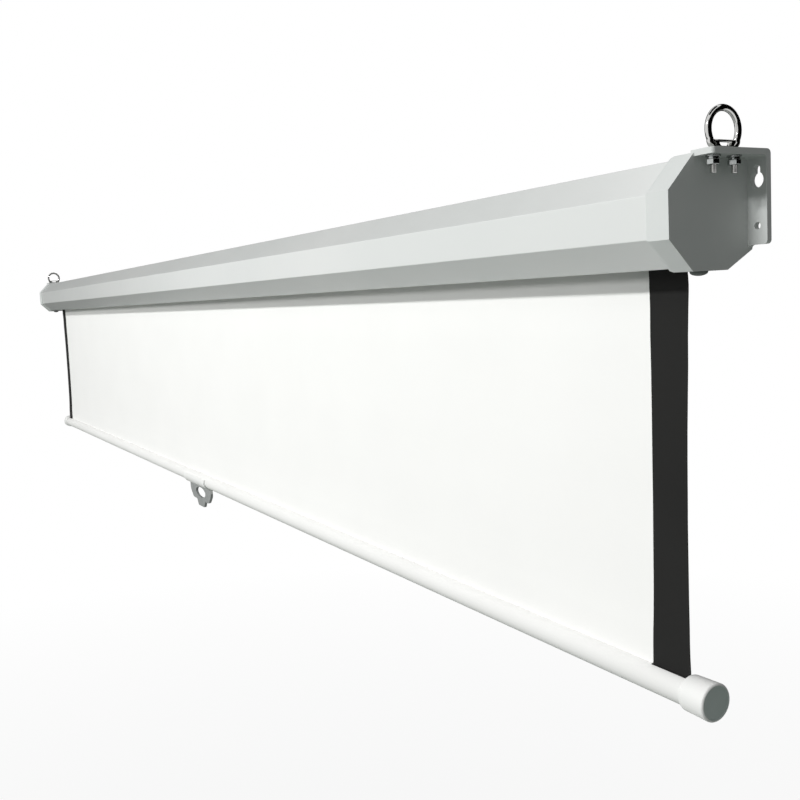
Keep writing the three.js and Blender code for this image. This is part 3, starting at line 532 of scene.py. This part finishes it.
# %% [markdown]
# ## The end caps
# Each end of the case is closed by one moulding: a collar over the case, an end plate, a tab with two
# holes for the hanger, and a wall flange with a keyhole and a screw hole. It could be put together from
# boxes and cut-outs, but its shape is right in CAD already, with sharp edges. A mould has small radii
# everywhere, so a merged copy gets all its edges rounded.

# %% End caps
cap_edge_width = 0.45 * MM


def build_end_cap(side):
    """One end cap with the small radii of a moulding."""
    bm = merged_copy(f"end_cap_{side}")
    count = round_edges(bm, cap_edge_width, above=32)
    piece = to_object(f"cap_moulding_{side}", bm, cap_moulding)
    keep_flats(piece)
    print(piece.name, "edges rounded:", count)
    return settle(piece, "case", "end_cap_moulding", f"end_cap_{side}")


end_caps = [build_end_cap(side) for side in SIDES]
print("end caps:", [cap.name for cap in end_caps])

# %% [markdown]
# ## The hangers
# On each tab stands a ring that was bent from one chromed rod. Its straight sides draw in to two legs,
# which pass through the tab and end in a thread with a washer, a spring washer and a nut below. A crossbar
# on the tab closes the ring. A curve with a round section could give the rod, but not its thread. So the
# rod is made as it was bent: a circle is pushed up the leg, spun round each small bend, spun round the
# ring and down the other leg. The thread is a row of ridges, pushed out by growing and shrinking the
# circle every half pitch.

# %% Where the hanger is
bolt_low, bolt_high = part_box("hanger_bolt_right")
rod_radius = 2.1 * MM
ring_radius = 12.9 * MM
leg_gap = 18 * MM
side_gap = 22.8 * MM
leg_bend_radius = 3 * MM
tab_middle = (bolt_low.x + bolt_high.x) / 2
ring_middle = (bolt_low.y + bolt_high.y) / 2
ring_height = bolt_high.z - rod_radius - ring_radius
bend_centre_out = side_gap / 2 + leg_bend_radius
bend_drop = math.sqrt((ring_radius + leg_bend_radius) ** 2 - bend_centre_out ** 2)
bend_angle = math.atan2(bend_drop, bend_centre_out)
flare_angle = math.acos(1 - (side_gap - leg_gap) / 4 / leg_bend_radius)
flare_top = ring_height - bend_drop
flare_foot = flare_top - 2 * leg_bend_radius * math.sin(flare_angle)
print("ring centre:", [round(v / MM, 2) for v in (tab_middle, ring_middle, ring_height)])


# %% Helpers that push and swing the end of a rod
def push(bm, faces, move=Vector(), grow=1.0):
    """Extrudes faces, moves the new end and grows or shrinks it about its middle."""
    made = bmesh.ops.extrude_face_region(bm, geom=faces)["geom"]
    bmesh.ops.delete(bm, geom=faces, context="FACES")
    ends = [item for item in made if isinstance(item, bmesh.types.BMFace)]
    verts = list(dict.fromkeys(vert for face in ends for vert in face.verts))
    bmesh.ops.translate(bm, verts=verts, vec=move)
    if grow != 1.0:
        middle = sum((vert.co for vert in verts), Vector()) / len(verts)
        bmesh.ops.scale(bm, verts=verts, vec=(grow, grow, 1), space=Matrix.Translation(-middle))
    return ends


def swing(bm, faces, centre, angle, steps):
    """Spins faces about an axis along X."""
    made = bmesh.ops.spin(bm, geom=faces, cent=centre, axis=AXIS_X, angle=angle, steps=steps,
                          use_merge=False, use_duplicate=False)["geom_last"]
    bmesh.ops.delete(bm, geom=faces, context="FACES")
    return [item for item in made if isinstance(item, bmesh.types.BMFace)]


print("small bends of the rod turn by", round(math.degrees(flare_angle), 1), "degrees")

# %% Hanger rings with threaded legs
thread_pitch = 0.7 * MM
thread_depth = 0.3 * MM
thread_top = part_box("hanger_nut_right_front")[1].z
rod_sides = 24
bend_steps = 6
ring_steps = 56


def build_ring(side, sign):
    """The bent rod: first leg, flare, ring, flare, second leg."""
    x = sign * tab_middle
    front, rear = ring_middle - leg_gap / 2, ring_middle + leg_gap / 2
    front_side, rear_side = ring_middle - side_gap / 2, ring_middle + side_gap / 2
    foot = bolt_low.z
    bm = bmesh.new()
    bmesh.ops.create_circle(bm, cap_ends=True, segments=rod_sides, radius=rod_radius - thread_depth,
                            matrix=Matrix.Translation((x, rear, foot)))
    faces = bm.faces[:]
    crest = rod_radius / (rod_radius - thread_depth)
    rise = thread_pitch / 2
    turns = int((thread_top - foot) / thread_pitch)
    bmesh.ops.duplicate(bm, geom=faces)  # stays behind and closes the foot
    for _ in range(turns):
        faces = push(bm, faces, AXIS_Z * rise, crest)
        faces = push(bm, faces, AXIS_Z * rise, 1 / crest)
    faces = push(bm, faces, AXIS_Z * rise, crest)
    reached = foot + rise * (2 * turns + 1)
    faces = push(bm, faces, AXIS_Z * (flare_foot - reached))
    for y, z, angle, steps in (
            (rear + leg_bend_radius, flare_foot, -flare_angle, bend_steps),
            (rear_side - leg_bend_radius, flare_top, flare_angle, bend_steps),
            (ring_middle + bend_centre_out, flare_top, -bend_angle, bend_steps),
            (ring_middle, ring_height, math.pi + 2 * bend_angle, ring_steps),
            (ring_middle - bend_centre_out, flare_top, -bend_angle, bend_steps),
            (front_side + leg_bend_radius, flare_top, flare_angle, bend_steps),
            (front - leg_bend_radius, flare_foot, -flare_angle, bend_steps)):
        faces = swing(bm, faces, (x, y, z), angle, steps)
    faces = push(bm, faces, -AXIS_Z * (flare_foot - reached))
    for _ in range(turns):
        faces = push(bm, faces, -AXIS_Z * rise, 1 / crest)
        faces = push(bm, faces, -AXIS_Z * rise, crest)
    faces = push(bm, faces, -AXIS_Z * rise, 1 / crest)
    bmesh.ops.remove_doubles(bm, verts=bm.verts, dist=WELD)
    piece = to_object(f"hanger_ring_{side}", bm, chrome)
    return settle(piece, "case", "chrome_plate", f"hanger_bolt_{side}")


rings = [build_ring(side, sign) for side, sign in SIDES.items()]
for ring in rings:
    low, high = [min(v.co.y for v in ring.data.vertices), max(v.co.y for v in ring.data.vertices)]
    print(ring.name, "legs and ring span", round(low / MM, 2), round(high / MM, 2))

# %% [markdown]
# ## Small parts of the hanger, and the bumpers
# The crossbar is a chromed bar whose ends follow the rod, with a bowl-shaped opening through its middle. A
# flat washer is a stamped ring. Below it sits a split spring washer, cut from square wire. A nut is a
# hexagon with its corners taken off. The bumper is a rubber dome. Whatever is round all the way could be
# cut from a cylinder, but spinning its outline about its axis is shorter, and any corner of the outline
# can be rounded first. The crossbar, the spring washer and the nut aren't round, so their merged copies
# from CAD get soft, worn or chamfered edges.

# %% Turned shapes
full_turn = 2 * math.pi
turn_steps = 48


def turned(profile, centre, along, outward, steps=turn_steps, corner=0.0, rounded=(), segments=3,
           closed=False):
    """Spins a profile of (radius, place along the axis) a full turn. rounded lists corners to round."""
    bm = bmesh.new()
    verts = [bm.verts.new(Vector(centre) + outward * radius + along * place) for radius, place in profile]
    pairs = list(zip(verts, verts[1:])) + ([(verts[-1], verts[0])] if closed else [])
    for pair in pairs:
        bm.edges.new(pair)
    if rounded:
        bmesh.ops.bevel(bm, geom=[verts[i] for i in rounded], offset=corner, offset_type="OFFSET",
                        segments=segments, profile=0.5, affect="VERTICES", material=-1, clamp_overlap=False)
    bmesh.ops.spin(bm, geom=bm.verts[:] + bm.edges[:], cent=centre, axis=along, angle=full_turn,
                   steps=steps, use_merge=True, use_duplicate=False)
    bmesh.ops.remove_doubles(bm, verts=bm.verts, dist=WELD)
    return bm


print("steps in a small turned piece:", turn_steps)

# %% Crossbars
crossbar_edge_width = 0.25 * MM


def build_crossbar(side):
    """The chromed bar across the foot of the ring."""
    bm = merged_copy(f"hanger_crossbar_{side}")
    round_edges(bm, crossbar_edge_width, above=60, segments=2)
    piece = to_object(f"ring_crossbar_{side}", bm, chrome)
    return settle(piece, "case", "chrome_plate", f"hanger_crossbar_{side}")


crossbars = [build_crossbar(side) for side in SIDES]
print("crossbars:", [bar.name for bar in crossbars])

# %% Flat washers
washer_clearance = 0.3 * MM
washer_edge_radius = 0.25 * MM


def build_washer(node):
    """A pressed washer, spun about the leg it sits on."""
    low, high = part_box(node)
    middle = (low + high) / 2
    bore, rim = rod_radius + washer_clearance, (high.x - low.x) / 2
    half = (high.z - low.z) / 2
    profile = [(bore, -half), (rim, -half), (rim, half), (bore, half)]
    bm = turned(profile, middle, AXIS_Z, AXIS_X, corner=washer_edge_radius, rounded=(1, 2), closed=True)
    piece = to_object(node.replace("hanger", "pressed"), bm, zinc)
    keep_flats(piece)
    return settle(piece, "case", "zinc_plate", node)


print("bore of the flat washers:", round(2 * (rod_radius + washer_clearance) / MM, 2))

# %% Split spring washers and hexagon nuts
worn_edge_width = 0.2 * MM
nut_chamfer = 0.5 * MM


def build_lock_washer(node):
    """A split spring washer with slightly worn edges."""
    bm = merged_copy(node)
    round_edges(bm, worn_edge_width, above=60, segments=2)
    piece = to_object(node.replace("hanger", "split"), bm, zinc)
    keep_flats(piece)
    return settle(piece, "case", "zinc_plate", node)


def build_nut(node):
    """A hexagon nut, chamfered along the edges of its two flat ends."""
    bm = merged_copy(node)
    round_edges(bm, nut_chamfer, above=60, segments=1,
                chosen=lambda edge: abs(edge.verts[0].co.z - edge.verts[1].co.z) < WELD)
    piece = to_object(node.replace("hanger", "hexagon"), bm, zinc)
    return settle(piece, "case", "zinc_plate", node)


print("worn edge and nut chamfer, at most:", worn_edge_width / MM, nut_chamfer / MM)

# %% A washer, a spring washer and a nut on each leg
fasteners = []
for side in SIDES:
    for place in ("front", "rear"):
        fasteners.append(build_washer(f"hanger_washer_{side}_{place}"))
        fasteners.append(build_lock_washer(f"hanger_lock_washer_{side}_{place}"))
        fasteners.append(build_nut(f"hanger_nut_{side}_{place}"))
print("fasteners:", len(fasteners))

# %% Bumpers
bumper_rim_share = 0.15
dome_steps = 8


def build_bumper(side):
    """A rubber dome under the end cap, flat where it is fixed."""
    low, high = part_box(f"bumper_{side}")
    middle, radius, height = (low + high) / 2, (high.x - low.x) / 2, high.z - low.z
    rim = bumper_rim_share * height
    dome = [(radius * math.cos(a), -rim - (height - rim) * math.sin(a))
            for a in (math.pi / 2 * i / dome_steps for i in range(dome_steps + 1))]
    profile = [(0, 0), (radius, 0)] + dome[:-1] + [(0, -height)]
    bm = turned(profile, (middle.x, middle.y, high.z), AXIS_Z, AXIS_X)
    return settle(to_object(f"rubber_bumper_{side}", bm, rubber), "case", "black_rubber", f"bumper_{side}")


bumpers = [build_bumper(side) for side in SIDES]
print("bumpers:", [bumper.name for bumper in bumpers])

# %% [markdown]
# ## The fabric
# One cloth, 0.35 mm thick, is wound on the roller, hangs down out of the case and ends in a hem round the
# weight tube. Its edges draw in a little at half height, because a hung cloth always does, and the curl
# it keeps from the roll makes it lean back at the top and forward above the bar. A cloth simulation could
# find such a shape, but this cloth has to be the same at each run. So a row of edges is pushed through the
# points of a path, which is how the cloth itself runs, its points are moved to where they settle, and
# Solidify gives it its thickness.

# %% Cloth values
cloth = 0.35 * MM
hem_low, hem_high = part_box("screen_fabric")
bar_low, bar_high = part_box("weight_tube")
fabric_y = (hem_low.y + hem_high.y) / 2
bar_height = (bar_low.z + bar_high.z) / 2
half_cloth = hem_high.x
border_width = 33.3 * MM
half_white = half_cloth - border_width
hem_radius = 10.475 * MM
crown = bar_height + hem_radius
print("cloth plane:", round(fabric_y / MM, 2), "top of the hem:", round(crown / MM, 2))

# %% How far the cloth leans and where its edge runs
# How far the cloth leans back, and how far the outer edge of each black strip moves outwards, both in
# millimetres, against the share of the way from the roll to the hem.
LEAN = ((0, 0), (0.116, 3.0), (0.145, 3.0), (0.18, 3.3), (0.25, 2.85), (0.315, 2.9), (0.415, 2.67),
        (0.52, 2.17), (0.62, 1.85), (0.72, 1.18), (0.82, 0.6), (0.889, -0.2), (0.924, -0.9),
        (0.956, -1.2), (1, -1.5))
EDGE = ((0, 0), (0.145, 2.6), (0.18, 1.7), (0.25, 1.2), (0.315, 0.8), (0.38, 0.1), (0.45, -0.5),
        (0.52, -0.7), (0.585, -0.85), (0.65, -0.95), (0.72, -0.6), (0.82, -0.2), (0.889, 0.65),
        (0.924, 1.25), (0.956, 1.7), (0.985, 2.3), (0.9906, 2.4), (0.9952, 0.2), (1, 0.2))


def look_up(table, share):
    """The value of a table at a share, in metres, straight between the table's points."""
    for (before, low), (after, high) in zip(table, table[1:]):
        if share <= after:
            return (low + (high - low) * (share - before) / (after - before)) * MM
    return table[-1][1] * MM


foot_lean = look_up(LEAN, 1)
print("the cloth leans forward at its foot by", round(-foot_lean / MM, 2))


# %% Cloth helpers
def swept_cloth(name, columns, path, material):
    """Pushes a row of edges along X through a path of (Y, Z) points, with a UV map in metres."""
    bm = bmesh.new()
    uv = bm.loops.layers.uv.new("cloth")
    along = bm.verts.layers.float.new("along")
    row = [bm.verts.new((x, *path[0])) for x in columns]
    edges = [bm.edges.new(pair) for pair in zip(row, row[1:])]
    travelled = 0.0
    for vert in row:
        vert[along] = travelled
    for before, after in zip(path, path[1:]):
        step = Vector((0, after[0] - before[0], after[1] - before[1]))
        travelled += step.length
        made = bmesh.ops.extrude_edge_only(bm, edges=edges)["geom"]
        verts = [item for item in made if isinstance(item, bmesh.types.BMVert)]
        edges = [item for item in made if isinstance(item, bmesh.types.BMEdge)]
        bmesh.ops.translate(bm, verts=verts, vec=step)
        for vert in verts:
            vert[along] = travelled
    for face in bm.faces:
        for loop in face.loops:
            loop[uv].uv = (loop.vert.co.x, loop.vert[along])
    return to_object(name, bm, material, outward=False)


def thicken(piece, thickness):
    """Gives a cloth its thickness, half of it to each side."""
    modifier = piece.modifiers.new("thickness", "SOLIDIFY")
    modifier.thickness = thickness
    modifier.offset = 0.0
    modifier.use_even_offset = True


def steps_between(low, high, count):
    """Evenly spaced values, both ends included."""
    return [low + (high - low) * i / count for i in range(count + 1)]


print("four even steps from nought to one:", steps_between(0, 1, 4))

# %% How the hanging cloth settles
wave_height = 0.5 * MM
waves_along, waves_down = 1.8, 1.2
wave_seed = 0.3


def settled(point):
    """Where a point of a flat cloth ends up once it hangs: leaning, waved, and drawn in at its edges."""
    share = min(max(point.z / crown, 0), 1)
    across = min(max((abs(point.x) - half_white) / border_width, 0), 1)
    drift = look_up(EDGE, share) * across * math.copysign(1, point.x)
    place = Vector((point.x * waves_along, point.z * waves_down, wave_seed))
    wave = wave_height * noise.noise(place) * math.sin(math.pi * share)
    leaning = look_up(LEAN, share) + wave
    return Vector((point.x + drift, point.y + leaning, point.z))


def settle_cloth(piece):
    """Moves every point of a flat cloth to where it settles."""
    for vert in piece.data.vertices:
        vert.co = settled(vert.co)
    piece.data.update()


cloth_middle = settled(Vector((0, fabric_y, crown / 2)))
print("middle of the cloth:", [round(value / MM, 2) for value in cloth_middle])

# %% White panel
panel_rows = [(fabric_y, z) for z in steps_between(0, crown, 64)]
panel = swept_cloth("white_panel", steps_between(-half_white, half_white, 60), panel_rows, white_cloth)
settle_cloth(panel)
thicken(panel, cloth)
print("panel rows:", len(panel_rows))

# %% [markdown]
# ## Hem and black strips
# The hem is the foot of the cloth, wrapped tightly round the weight tube and welded to the back of the
# panel, so from the end it is a circle that the panel stands on. The black strips run down the edges of
# the panel, bend over the top of the hem and end there. They could be a second colour on the panel, but on
# the real cloth they are a layer of their own with a cut end, so each is a strip of its own too. Both are
# swept like the panel, through points on circles about the tube.

# %% Hem
hem_steps = 64
hem_flap = 9 * MM
flap_starts = 0.6 * MM
flap_spread = 0.2 * MM
hem_gap_angle = math.radians(3)
foot_angle = math.asin(-foot_lean / hem_radius)


def around_bar(radius, angle):
    """A point on a circle about the weight tube, by the angle from straight up towards the front."""
    return (fabric_y - radius * math.sin(angle), bar_height + radius * math.cos(angle))


def build_hem():
    """The folded foot of the cloth, with the welded flap behind the panel."""
    behind = fabric_y + cloth + foot_lean
    angles = steps_between(foot_angle, foot_angle + full_turn - hem_gap_angle, hem_steps)
    circle = [around_bar(hem_radius, angle) for angle in angles]
    path = [*circle, (behind, crown + flap_starts), (behind + flap_spread, crown + hem_flap)]
    piece = swept_cloth("hem_pocket", steps_between(-half_cloth, half_cloth, 24), path, painted_shade_hem_cloth)
    thicken(piece, cloth * 0.94)  # a little thin, so that it stays within its solid
    return settle(piece, "bottom_bar", "screen_white")


hem = build_hem()
print("hem faces:", len(hem.data.polygons))

# %% Black strips
lap_radius = hem_radius + cloth * 1.15
lap_degrees = (10, 13, 16, 19)
rows_end = 3 * MM
foot_rises = (2.9 * MM, 1.5 * MM)


def build_border(side, sign):
    """A black strip from the roll to the top of the hem, where it bends forward and is cut."""
    inner, outer = sorted((sign * half_white, sign * half_cloth))
    rows = [row for row in panel_rows if row[1] > crown + rows_end]
    foot = [(fabric_y, crown + rise) for rise in foot_rises]
    lap = [around_bar(lap_radius, math.radians(angle)) for angle in lap_degrees]
    lap = [(y - foot_lean, z) for y, z in lap]  # the settling moves it back
    path = [*rows, *foot, *lap]
    piece = swept_cloth(f"black_border_{side}", steps_between(inner, outer, 6), path, black_cloth)
    settle_cloth(piece)
    thicken(piece, cloth)
    return piece


borders = [build_border(side, sign) for side, sign in SIDES.items()]
print("black strips:", [border.name for border in borders])

# %% The hanging cloth is fixed in place and stands in for its CAD nodes
for piece, slot, node in ((panel, "screen_white", "screen_fabric"),
                          (borders[0], "border_black", "side_border_right"),
                          (borders[1], "border_black", "side_border_left")):
    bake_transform(piece)
    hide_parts(node)
print("hanging cloth:", round(2 * half_cloth, 3), "by", round(-crown, 3), "m")

# %% [markdown]
# ## The cloth on the roll
# Most of the cloth is still wound up. A plain tube would do inside a closed case, but the slot lets one
# look in, so the roll is the real thing: a spiral whose turns lie on each other, almost fifteen of them. A
# row of edges is pushed round the spiral, in three widths for the white and the strips.

# %% Wound cloth
roll_low, roll_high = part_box("fabric_roll")
axle = Vector((0, (roll_low.y + roll_high.y) / 2, (roll_low.z + roll_high.z) / 2))
roll_radius = (roll_high.z - roll_low.z) / 2 - cloth / 2
roller_with_air = 12.3 * MM
core_radius = roller_with_air + cloth / 2
roll_turns = (roll_radius - core_radius) / cloth
steps_in_a_turn = 32
roll_steps = int(roll_turns * steps_in_a_turn)


def spiral_point(index):
    """A point of the spiral, from the core to where the hanging cloth leaves the roll."""
    share = index / roll_steps
    radius = core_radius + (roll_radius - core_radius) * share
    angle = -full_turn * roll_turns * (1 - share)
    return (axle.y + radius * math.cos(angle), axle.z - radius * math.sin(angle))


def build_winding(name, low, high, material, slot):
    """One width of the wound cloth."""
    path = [spiral_point(i) for i in range(roll_steps + 1)]
    piece = swept_cloth(name, [low, high], path, material)
    thicken(piece, cloth * 0.9)  # a little thin, so that its turns don't cut into each other
    return settle(piece, "roller", slot)


winding = build_winding("wound_cloth", -half_white, half_white, white_cloth, "screen_white")
wound_borders = [build_winding(f"wound_border_{side}", *sorted((sign * half_white, sign * half_cloth)),
                               black_cloth, "border_black") for side, sign in SIDES.items()]
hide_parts("fabric_roll")

# %% [markdown]
# ## The bottom bar
# A painted steel tube weighs the cloth down. On each end sits a moulded cap: a thin mouth, a soft
# shoulder and a slight flare to a small rim, with a recessed end face in a darker grey-green, which is
# painted shade. The caps could be cylinders with scaled rings. Spinning their outline is more exact: tube
# and caps are round, so their outlines are spun about the tube's axis, with the corners of the outline
# rounded first.

# %% Weight tube
bar_centre = Vector((0, fabric_y, bar_height))
tube_wall = 1 * MM
tube_edge_radius = 0.2 * MM


def build_tube():
    """The steel tube in the hem."""
    outer = (bar_high.z - bar_low.z) / 2
    inner = outer - tube_wall
    profile = [(inner, bar_low.x), (outer, bar_low.x), (outer, bar_high.x), (inner, bar_high.x)]
    bm = turned(profile, bar_centre, AXIS_X, AXIS_Z, steps=64, corner=tube_edge_radius,
                rounded=(0, 1, 2, 3), segments=2, closed=True)
    piece = to_object("painted_weight_tube", bm, bar_paint)
    keep_flats(piece)
    return settle(piece, "bottom_bar", "bar_paint", "weight_tube")


tube = build_tube()
print("tube:", tube.name, "with", len(tube.data.polygons), "faces")

# %% Flared caps on the tube
cap_bore = 10.3 * MM
cap_lip = 11.5 * MM
cap_face_wall = 4 * MM
cap_rim = 1 * MM
cap_edge = 0.5 * MM
shoulder_rise = 1.3 * MM
shoulder_length = 2.5 * MM
face_recess = 0.5 * MM


def build_bar_cap(side, sign):
    """The flared cap on the end of the tube, with its recessed end face in a darker grey-green: painted
    shade.
    """
    low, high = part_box(f"bar_cap_{side}")
    mouth, face = sorted((low.x, high.x), key=abs)
    inward = -sign
    flare = (high.z - low.z) / 2
    back_of_face, recessed_face = face + inward * cap_face_wall, face + inward * face_recess
    shoulder = [(cap_lip + shoulder_rise * math.sin(a),
                 mouth - inward * shoulder_length * (1 - math.cos(a)))
                for a in steps_between(0, math.pi / 2, 6)]
    inside = [(0, back_of_face), (cap_bore, back_of_face), (cap_bore, mouth), *shoulder]
    profile = [*inside, (flare, face + inward * cap_rim), (flare - cap_rim, face),
               (flare - 1.8 * cap_rim, face), (flare - 2.2 * cap_rim, recessed_face), (0, recessed_face)]
    bm = turned(profile, bar_centre, AXIS_X, AXIS_Z, steps=72, corner=cap_edge,
                rounded=(len(inside), len(inside) + 1), segments=3)
    piece = to_object(f"flared_bar_cap_{side}", bm, white_moulding)
    # the second material is the end face's darker grey-green, which is painted shade
    piece.data.materials.append(cap_face_painted_shade)
    for part in piece.data.polygons:
        at_the_end = abs(part.center.x) > abs(face) - 0.9 * cap_rim
        inside_rim = (part.center - bar_centre).yz.length < flare - 1.4 * cap_rim
        part.material_index = int(at_the_end and inside_rim)
    keep_flats(piece)
    return settle(piece, "bottom_bar", "white_plastic", f"bar_cap_{side}")


bar_caps = [build_bar_cap(side, sign) for side, sign in SIDES.items()]
print("caps on the tube:", [cap.name for cap in bar_caps])

# %% [markdown]
# ## The pull handle
# The handle snaps round the hem: a white clip, and moulded onto it a grey tab with a finger hole and a nub
# that a hooked pole can catch. Its outline could be traced once more and pushed to a thickness, but the CAD
# solid has it already. The copy gets round edges, because fingers pull on it. Faces that lie on the clip
# get the white moulding, all others the grey one.

# %% Pull handle
clip_radius = 12.8 * MM
handle_edge_width = 0.7 * MM


def build_handle():
    """The moulded handle with soft edges."""
    bm = merged_copy("pull_handle")
    count = round_edges(bm, handle_edge_width, above=40, segments=4)
    piece = to_object("moulded_pull_handle", bm, handle_moulding)
    piece.data.materials.append(white_moulding)
    for part in piece.data.polygons:
        if (part.center - bar_centre).yz.length < clip_radius:
            part.material_index = 1
    keep_flats(piece)
    print("handle edges rounded:", count)
    return settle(piece, "bottom_bar", "grey_plastic", "pull_handle")


handle = build_handle()
print("handle faces:", len(handle.data.polygons))

# %% [markdown]
# ## The mechanism
# Roller, spring, spindle, plugs and lock are hidden in the case and already have their true shapes, so
# they keep their CAD meshes. Each gets the finish of its kind in its own material slot.

# %% Finishes of the hidden parts
HIDDEN = {
    "pin_bush": nylon, "idle_plug": nylon, "spring_plug": nylon,
    "spindle_holder": steel, "spring_spindle": steel, "spring_anchor": steel, "ratchet_wheel": steel,
    "roller_tube": steel, "gudgeon_pin": steel, "pawl_pin_a": steel, "pawl_pin_b": steel,
    "lock_pawl_a": steel, "lock_pawl_b": steel, "torsion_spring": spring_wire,
}
for node, material in HIDDEN.items():
    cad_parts[node].material_slots[0].material = material
print("hidden parts finished:", len(HIDDEN))
